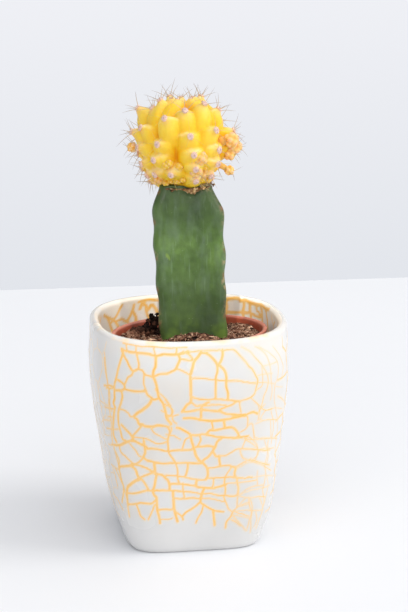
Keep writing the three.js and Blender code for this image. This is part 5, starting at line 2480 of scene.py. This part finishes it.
@dataclass
class Studio:
    """Pale table top, pale surroundings, soft lights and snoots. Its places are in metres."""

    table_far: tuple[float, float] = (0.3643, -0.029)
    low_wall: str = "E2E5EB"
    high_wall: str = "F0F1F6"
    bright_side: Triple = (0.6, -0.66, 0.45)
    dim_sky: Triple = (0.36, 0.365, 0.385)
    bright_sky: Triple = (1.05, 1.06, 1.08)
    lamps: Sequence[Lamp] = (
        Lamp("key", (3.0, -1.0, 3.0), (0, 0, 0.07), (1.8, 1.8), 54.0, (1.0, 0.985, 0.96)),
        Lamp("overhead", (-0.3, -1.8, 3.6), (0, 0, 0.07), (3.6, 3.2), 34.0),
        Lamp("snoot", (-0.166, -1.006, 0.68), (0.0, 0.02, 0.084), SNOOT, 44.0, (1.0, 0.97, 0.93), 2.8, FRONT),
        Lamp("left_snoot", (0.322, -0.951, 0.876), (-0.028, 0.012, 0.077), SNOOT, 105.0, WARM, 1.5, MOUTH),
        Lamp("right_snoot", (-0.322, -0.951, 0.876), (0.028, 0.012, 0.077), SNOOT, 130.0, WARM, 1.5, MOUTH),
    )

    def build(self) -> None:
        """Sets the stage."""
        bpy.context.scene.view_settings.view_transform = "Standard"
        self.make_table()
        self.make_world()
        for lamp in self.lamps:
            lamp.build()
        CAMERA.build()

    def make_table(self) -> None:
        """Lays the table top; its far edge runs behind the pot."""
        middle, slope = self.table_far
        corners = [(-5, -5, 0), (5, -5, 0), (5, middle + slope * 5, 0), (-5, middle - slope * 5, 0)]
        mesh = bpy.data.meshes.new("table_top")
        mesh.from_pydata(corners, [], [(0, 1, 2, 3)])
        mesh.materials.append(StageFinish().material())
        table = bpy.data.objects.new("table_top", mesh)
        bpy.context.scene.collection.objects.link(table)

    def make_world(self) -> None:
        """Gives the surroundings a pale tone, and above the table more light from the right."""
        world = bpy.data.worlds.new("pale_room")
        world.use_nodes = True
        nodes = Nodes(world.node_tree)
        new, link = nodes.tree.nodes.new, nodes.tree.links.new
        way = new("ShaderNodeTexCoord").outputs["Generated"]
        split = new("ShaderNodeSeparateXYZ")
        link(way, split.inputs[0])
        toward = new("ShaderNodeVectorMath")
        toward.operation = "DOT_PRODUCT"
        link(way, toward.inputs[0])
        toward.inputs[1].default_value = self.bright_side
        height = split.outputs["Z"]
        wall = nodes.mix(nodes.share(height, -0.25, -0.1), srgb(self.low_wall), srgb(self.high_wall))
        brightness = nodes.share(toward.outputs["Value"], -0.5, 0.95)
        sky = nodes.mix(brightness, (*self.dim_sky, 1), (*self.bright_sky, 1))
        room = nodes.mix(nodes.share(height, -0.05, 0.12), wall, sky)
        link(room, nodes.tree.nodes["Background"].inputs["Color"])
        bpy.context.scene.world = world


def main() -> None:
    """Builds the cactus and its studio, in order."""
    logging.basicConfig(level=logging.INFO, format="%(message)s")
    pot, stem = NurseryPot(), Rootstock()
    builders: dict[str, Callable[[], None]] = {
        "planter": Planter().build,
        "nursery pot": pot.build,
        "soil": Soil(pot, stem).build,
        "rootstock": stem.build,
        "scion": Scion(stem).build,
    }
    for name, build in builders.items():
        build()
        log.info("built %s", name)
    Studio().build()


if __name__ == "__main__":
    main()
